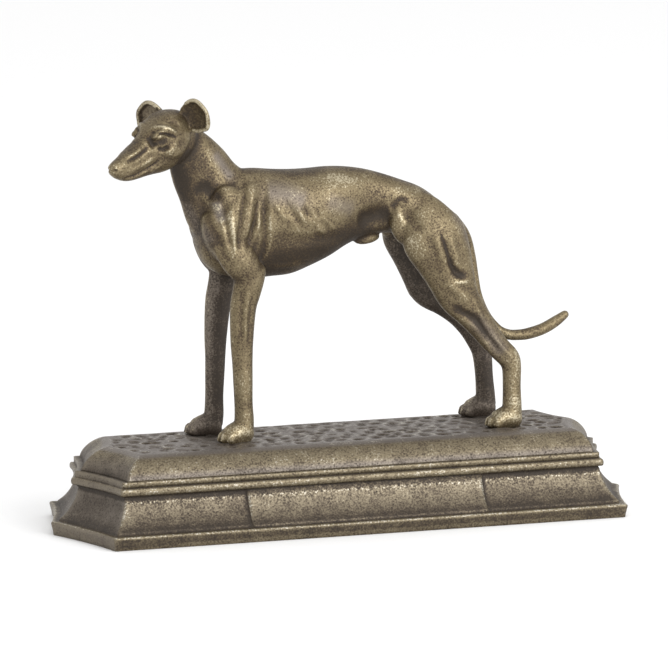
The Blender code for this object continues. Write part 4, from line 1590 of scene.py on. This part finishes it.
    def rough(self) -> bpy.types.Object:
        """The dog's masses as closed shells that overlap, in metres on the plinth's top.

        Returns:
            The object, with its shells not yet joined.
        """
        bm = bmesh.new()
        self.trunk.add(bm)
        Limb(self.neck).add(bm)
        Limb(self.tail).add(bm)
        for side, fore, thigh, gaskin in (
            (Side.NEAR, (0, 0), (0, 0), self.near_gaskin),
            (Side.FAR, self.far_fore_shift, self.far_thigh_shift, self.far_gaskin),
        ):
            Limb(self.shoulder_blade, side).add(bm)
            Limb(self.upper_arm, side, (0, fore[0])).add(bm)
            Limb(self.foreleg, side, fore).add(bm)
            Limb(self.thigh, side, thigh).add(bm)
            Limb(gaskin, side).add(bm)
            turn = -side.value * self.fore_paw_turn
            Paw(self.foreleg[-1].x + fore[1], -side.value * self.foreleg[-1].y, turn).add(bm)
            Paw(gaskin[-1].x, -side.value * gaskin[-1].y, -side.value * self.hind_paw_turn).add(bm)
            for mass in (self.shoulder_point, self.shoulder_fill, self.flank_fold):
                along, across, up = mass.centre
                add_mass(bm, Matrix(), mass._replace(centre=(along, across * side.value, up)))
        add_mass(bm, Matrix(), self.sheath)
        self.head.add(bm)
        bmesh.ops.recalc_face_normals(bm, faces=bm.faces)
        bmesh.ops.transform(bm, matrix=self.place(), verts=bm.verts)
        return new_object(bm, "greyhound_cast")

    def place(self) -> Matrix:
        """Turns places in thousandths of the dog's height into metres on the plinth's top."""
        return Matrix.Translation((0, self.midline, self.ground)) @ Matrix.Scale(self.height / 1000, 4)

    def detail(self, points: np.ndarray) -> tuple[np.ndarray, np.ndarray, np.ndarray]:
        """Where the paws, the tail's free end and the head lie.

        Args:
            points: Places in metres.

        Returns:
            How far each place belongs to the paws, to the tail and to the head, from 0 to 1.
        """
        shares = (points - np.array(self.place().translation)) * 1000 / self.height
        head = soft_step(shares[:, 2], 800, 860) * soft_step(-shares[:, 0], 400, 440)
        tail = soft_step(shares[:, 0], 545, 600) * soft_step(shares[:, 2], 190, 225)
        return 1 - soft_step(shares[:, 2], 60, 110), tail, head

    def smooth(self, thing: bpy.types.Object) -> None:
        """Softens the joins between the masses, less on the head and least on the paws.

        Args:
            thing: The dog.
        """
        skin = Skin(thing)
        paws, tail, head = self.detail(skin.points)
        broad = (1 - paws) * (1 - tail)
        for name, rounds, share in (
            ("paws and tail", self.paw_smoothing, np.ones(len(paws))),
            ("head", self.head_smoothing - self.paw_smoothing, broad),
            ("body", self.body_smoothing - self.head_smoothing, broad * (1 - head)),
        ):
            for _ in range(rounds):
                skin.move(skin.points + (skin.blurred(skin.points, 1) - skin.points) * share[:, None])
            LOG.info("greyhound: %s smoothed %d rounds", name, rounds)

    def local(self, skin: Skin, place: Matrix) -> tuple[np.ndarray, np.ndarray]:
        """The skin's points in a frame, and how squarely each faces out to its own side there.

        Args:
            skin: The dog's skin.
            place: The frame.

        Returns:
            The points, and one value from 0 to 1 for each.
        """
        inverse = place.inverted()
        turn = np.array(inverse.to_3x3())
        points = skin.points @ turn.T + np.array(inverse.translation)
        normals = skin.normals @ turn.T
        normals /= np.linalg.norm(normals, axis=1, keepdims=True)
        return points, np.clip(normals[:, 1] * np.sign(points[:, 1]), 0, 1)

    def carve(self, skin: Skin, place: Matrix, strokes: Sequence[Stroke], widen: float) -> None:
        """Sinks and raises soft strokes on the outward sides of the form.

        Args:
            skin: The dog's skin, which is moved.
            place: The frame that the strokes are drawn in.
            strokes: The strokes, in thousandths.
            widen: How much wider than its half width each stroke fades out.
        """
        points, outward = self.local(skin, place)
        depth = np.zeros(len(points))
        for stroke in strokes:
            width = stroke.half_width * widen
            depth += stroke.depth * trail(points[:, (0, 2)], stroke.path, width, self.stroke_taper)
        depth *= np.minimum(outward * self.carve_reach, 1) * self.height / 1000
        skin.move(skin.points - skin.normals * depth[:, None])

    def thin(self, thing: bpy.types.Object) -> None:
        """Merges triangles where the skin is plain, and cuts the paws flat at the ground.

        Args:
            thing: The dog.
        """
        bm = bmesh.new()
        bm.from_mesh(thing.data)
        bmesh.ops.triangulate(bm, faces=bm.faces)
        count = len(bm.faces)
        bm.to_mesh(thing.data)
        bm.free()
        modifier = thing.modifiers.new("Thin", "DECIMATE")
        modifier.ratio = min(1.0, self.triangles / count)
        apply_modifiers(thing)
        bm = bmesh.new()
        bm.from_mesh(thing.data)
        sole = Vector((0, 0, self.ground - self.sole_sink))
        geom = [*bm.verts, *bm.edges, *bm.faces]
        bmesh.ops.bisect_plane(bm, geom=geom, plane_co=sole, plane_no=(0, 0, 1), clear_inner=True)
        bmesh.ops.holes_fill(bm, edges=[e for e in bm.edges if e.is_boundary])
        bmesh.ops.triangulate(bm, faces=bm.faces)
        bmesh.ops.recalc_face_normals(bm, faces=bm.faces)
        for face in bm.faces:
            face.smooth = True
        bm.to_mesh(thing.data)
        bm.free()

    def build(self) -> bpy.types.Object:
        """Builds and dresses the dog.

        Returns:
            The dog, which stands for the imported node.
        """
        thing = self.rough()
        union = thing.modifiers.new("Union", "REMESH")
        union.mode = "VOXEL"
        union.voxel_size = self.voxel
        apply_modifiers(thing)
        LOG.info("greyhound: %d points after the union", len(thing.data.vertices))
        self.smooth(thing)
        skin = Skin(thing)
        self.carve(skin, self.place(), self.strokes, self.body_widening)
        self.carve(skin, self.place() @ self.head.place(), self.head.strokes, self.head_widening)
        skin.move(skin.blurred(skin.points, 2))
        self.thin(thing)
        self.shade(Skin(thing))
        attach(thing, BODY)
        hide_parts("greyhound")
        return thing

    def light_and_shade_sum(self, skin: Skin, place: Matrix, light_and_shade: Sequence[PaintedLight]) -> np.ndarray:
        """The sum of some zones of painted light and shade on the outward sides of the form, in a frame.

        Args:
            skin: The dog's skin.
            place: The frame that the washes are drawn in.
            light_and_shade: The zones of painted light and shade.

        Returns:
            One value per point.
        """
        points, outward = self.local(skin, place)
        total = np.zeros(len(points))
        for light_patch in light_and_shade:
            total += light_patch.strength * trail(points[:, (0, 2)], light_patch.path, light_patch.half_width, self.light_taper)
        return total * np.minimum(outward * self.light_reach, 1)

    def ear_light(self, skin: Skin) -> np.ndarray:
        """Painted light on the ears: a painted highlight on the fold round the hollow, and painted light
        lifting the hollow itself.

        Args:
            skin: The dog's skin.

        Returns:
            One value per point.
        """
        tones = np.zeros(len(skin.points))
        for ear in self.head.ears:
            frame = self.place() @ ear.frame(self.head.place())
            points, _ = self.local(skin, frame)
            rim = np.array(ear.rim())
            gap = np.min(np.linalg.norm(points[:, None, :2] - rim[None, :, :], axis=2), axis=1)
            near = (np.abs(points[:, 2]) < 26) & (points[:, 0] > -4) & (gap < 60)
            front = soft_step(points[:, 2], -8, 2)
            inside = soft_step(gap, 6, 14) * soft_step(points[:, 0], 0, 12)
            tones += near * (0.30 * (1 - soft_step(gap, 3, 10)) * front + ear.hollow_light * inside)
        return tones

    def shade(self, skin: Skin) -> None:
        """Paints the finish from dark to gold: high on ridges, low in grooves, with painted shade below and
        inside the legs, and painted light and shade in listed zones.

        Args:
            skin: The dog's skin, which is painted.
        """
        fine = skin.standing(6) / 0.00014
        broad = skin.standing(60) / 0.0009
        points, _ = self.local(skin, self.place())
        paws, tail, head = self.detail(skin.points)
        up = skin.normals[:, 2]
        # Gold on ridges, dark in grooves and broad hollows: patina, with painted shade in the broad hollows
        # as well.
        rubbed_and_painted_light = 0.54 + 0.15 * np.clip(fine, -1.6, 1.6) + 0.22 * np.clip(broad, -1.4, 1.0)
        # Painted shade on faces that look down, a little painted light on faces that look up; gold paws and a
        # darker tail.
        rubbed_and_painted_light += 0.16 * np.clip(up, -1, 0.2) + 0.10 * paws - 0.08 * tail
        rubbed_and_painted_light -= 0.26 * soft_step(up, 0.72, 0.95) * soft_step(points[:, 2], 640, 700)
        # Painted light and shade in listed zones on the body, the face and the ears.
        body = self.light_and_shade_sum(skin, self.place(), self.light_and_shade)
        face = self.light_and_shade_sum(skin, self.place() @ self.head.place(), self.head.light_and_shade)
        rubbed_and_painted_light += body * (1 - head) + (face + self.ear_light(skin)) * head
        # Painted shade on the legs' inner faces, between the legs, less on those that face forward.
        legs = 1 - soft_step(points[:, 2], 500, 600)
        inward = soft_step(-skin.normals[:, 1] * np.sign(points[:, 1]), -0.15, 0.45)
        ahead = soft_step(-skin.normals[:, 0], 0.1, 0.7)
        rubbed_and_painted_light -= legs * inward * (0.50 - 0.28 * ahead)
        # A grey veil of dust and painted sheen in listed zones and on the head's far side, and grey painted
        # shade on the legs' inner faces.
        dust_and_sheen = np.clip(self.light_and_shade_sum(skin, self.place(), self.dust_and_sheen_zones), 0, 1) * (1 - head)
        dust_and_sheen += legs * inward * 0.8 + 0.35 * head * (points[:, 1] > 0)
        skin.paint("rubbed_and_painted_light", np.clip(rubbed_and_painted_light, 0, 1))
        skin.paint("dust_and_sheen", np.clip(dust_and_sheen, 0, 1))
        skin.paint("coarse", 1 + 0.6 * legs * inward * ahead)


# Studio


class Lamp(NamedTuple):
    """One square soft light: its azimuth and elevation in degrees, its distance, its size and its power."""

    name: str
    azimuth: float
    elevation: float
    distance: float
    size: float
    power: float


@dataclass
class Studio:
    """The pale floor, the soft lights and the camera at the photograph's angle."""

    azimuth: float = math.radians(-19.66)
    elevation: float = math.radians(9.59)
    distance: float = 4.27
    look_at: Row = (-0.0024, 0.0, 0.0932)
    focal_length: float = 458.4
    sensor_width: float = 36.0
    clip_end: float = 50.0
    floor_size: float = 30.0
    floor_tone: float = 0.93
    world_strength: float = 1.0
    lamps: tuple[Lamp, ...] = (
        Lamp("key_light", 24, 20, 2.2, 1.5, 30.0),
        Lamp("top_light", 10, 68, 2.2, 1.2, 5.0),
    )

    def direction(self, azimuth: float, elevation: float) -> Vector:
        """The direction out of the statue at an azimuth and an elevation."""
        level = math.cos(elevation)
        return Vector((math.sin(azimuth) * level, -math.cos(azimuth) * level, math.sin(elevation)))

    def aim(self, thing: bpy.types.Object, azimuth: float, elevation: float, distance: float) -> None:
        """Stands a camera or light off the statue and turns it to the statue.

        Args:
            thing: The camera or light.
            azimuth: Its azimuth, in radians.
            elevation: Its elevation, in radians.
            distance: How far off it stands, in metres.
        """
        away = self.direction(azimuth, elevation)
        thing.location = Vector(self.look_at) + away * distance
        thing.rotation_mode = "QUATERNION"
        thing.rotation_quaternion = (-away).to_track_quat("-Z", "Y")
        bpy.context.scene.collection.objects.link(thing)

    def build(self) -> None:
        """Makes the floor, the world, the lights and the camera."""
        self.floor()
        self.world()
        for lamp in self.lamps:
            self.light(lamp)
        data = bpy.data.cameras.new("camera")
        data.lens = self.focal_length
        data.sensor_width = self.sensor_width
        data.clip_end = self.clip_end
        camera = bpy.data.objects.new("camera", data)
        self.aim(camera, self.azimuth, self.elevation, self.distance)
        bpy.context.scene.camera = camera
        bpy.context.scene.view_settings.view_transform = "Standard"

    def floor(self) -> None:
        """Lays the pale floor."""
        bm = bmesh.new()
        bmesh.ops.create_grid(bm, x_segments=2, y_segments=2, size=self.floor_size / 2)
        thing = new_object(bm, "floor")
        material = bpy.data.materials.new("pale_floor")
        material.use_nodes = True
        shader = material.node_tree.nodes["Principled BSDF"]
        shader.inputs["Base Color"].default_value = (*[self.floor_tone] * 3, 1.0)
        shader.inputs["Roughness"].default_value = 0.9
        shader.inputs["Specular IOR Level"].default_value = 0.1
        thing.data.materials.append(material)

    def world(self) -> None:
        """Sets an even white surround."""
        world = bpy.data.worlds.new("studio")
        world.use_nodes = True
        background = world.node_tree.nodes["Background"]
        background.inputs["Color"].default_value = (1.0, 1.0, 1.0, 1.0)
        background.inputs["Strength"].default_value = self.world_strength
        bpy.context.scene.world = world

    def light(self, lamp: Lamp) -> None:
        """Hangs one square soft light.

        Args:
            lamp: The light's place, size and power.
        """
        data = bpy.data.lights.new(lamp.name, "AREA")
        data.shape = "SQUARE"
        data.size = lamp.size
        data.energy = lamp.power
        place = (math.radians(lamp.azimuth), math.radians(lamp.elevation))
        self.aim(bpy.data.objects.new(lamp.name, data), *place, lamp.distance)


def corners(bounds: tuple[Vector, Vector]) -> list[list[float]]:
    """Two corners as plain lists."""
    return [list(corner) for corner in bounds]


def main() -> None:
    """Builds the studio, the plinth and the greyhound, and reports each piece."""
    logging.basicConfig(level=logging.INFO, format="%(name)s: %(message)s")
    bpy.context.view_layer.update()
    Studio().build()
    grain, patina = CastGrain().tree(), BrushedPatina().tree()
    for maker, finish in ((Plinth(), PLINTH_FINISH), (Greyhound(), DOG_FINISH)):
        thing = maker.build()
        thing.data.materials.append(finish.material(grain, patina))
        LOG.info("%s: %d faces", thing.name, len(thing.data.polygons))


if __name__ == "__main__":
    main()
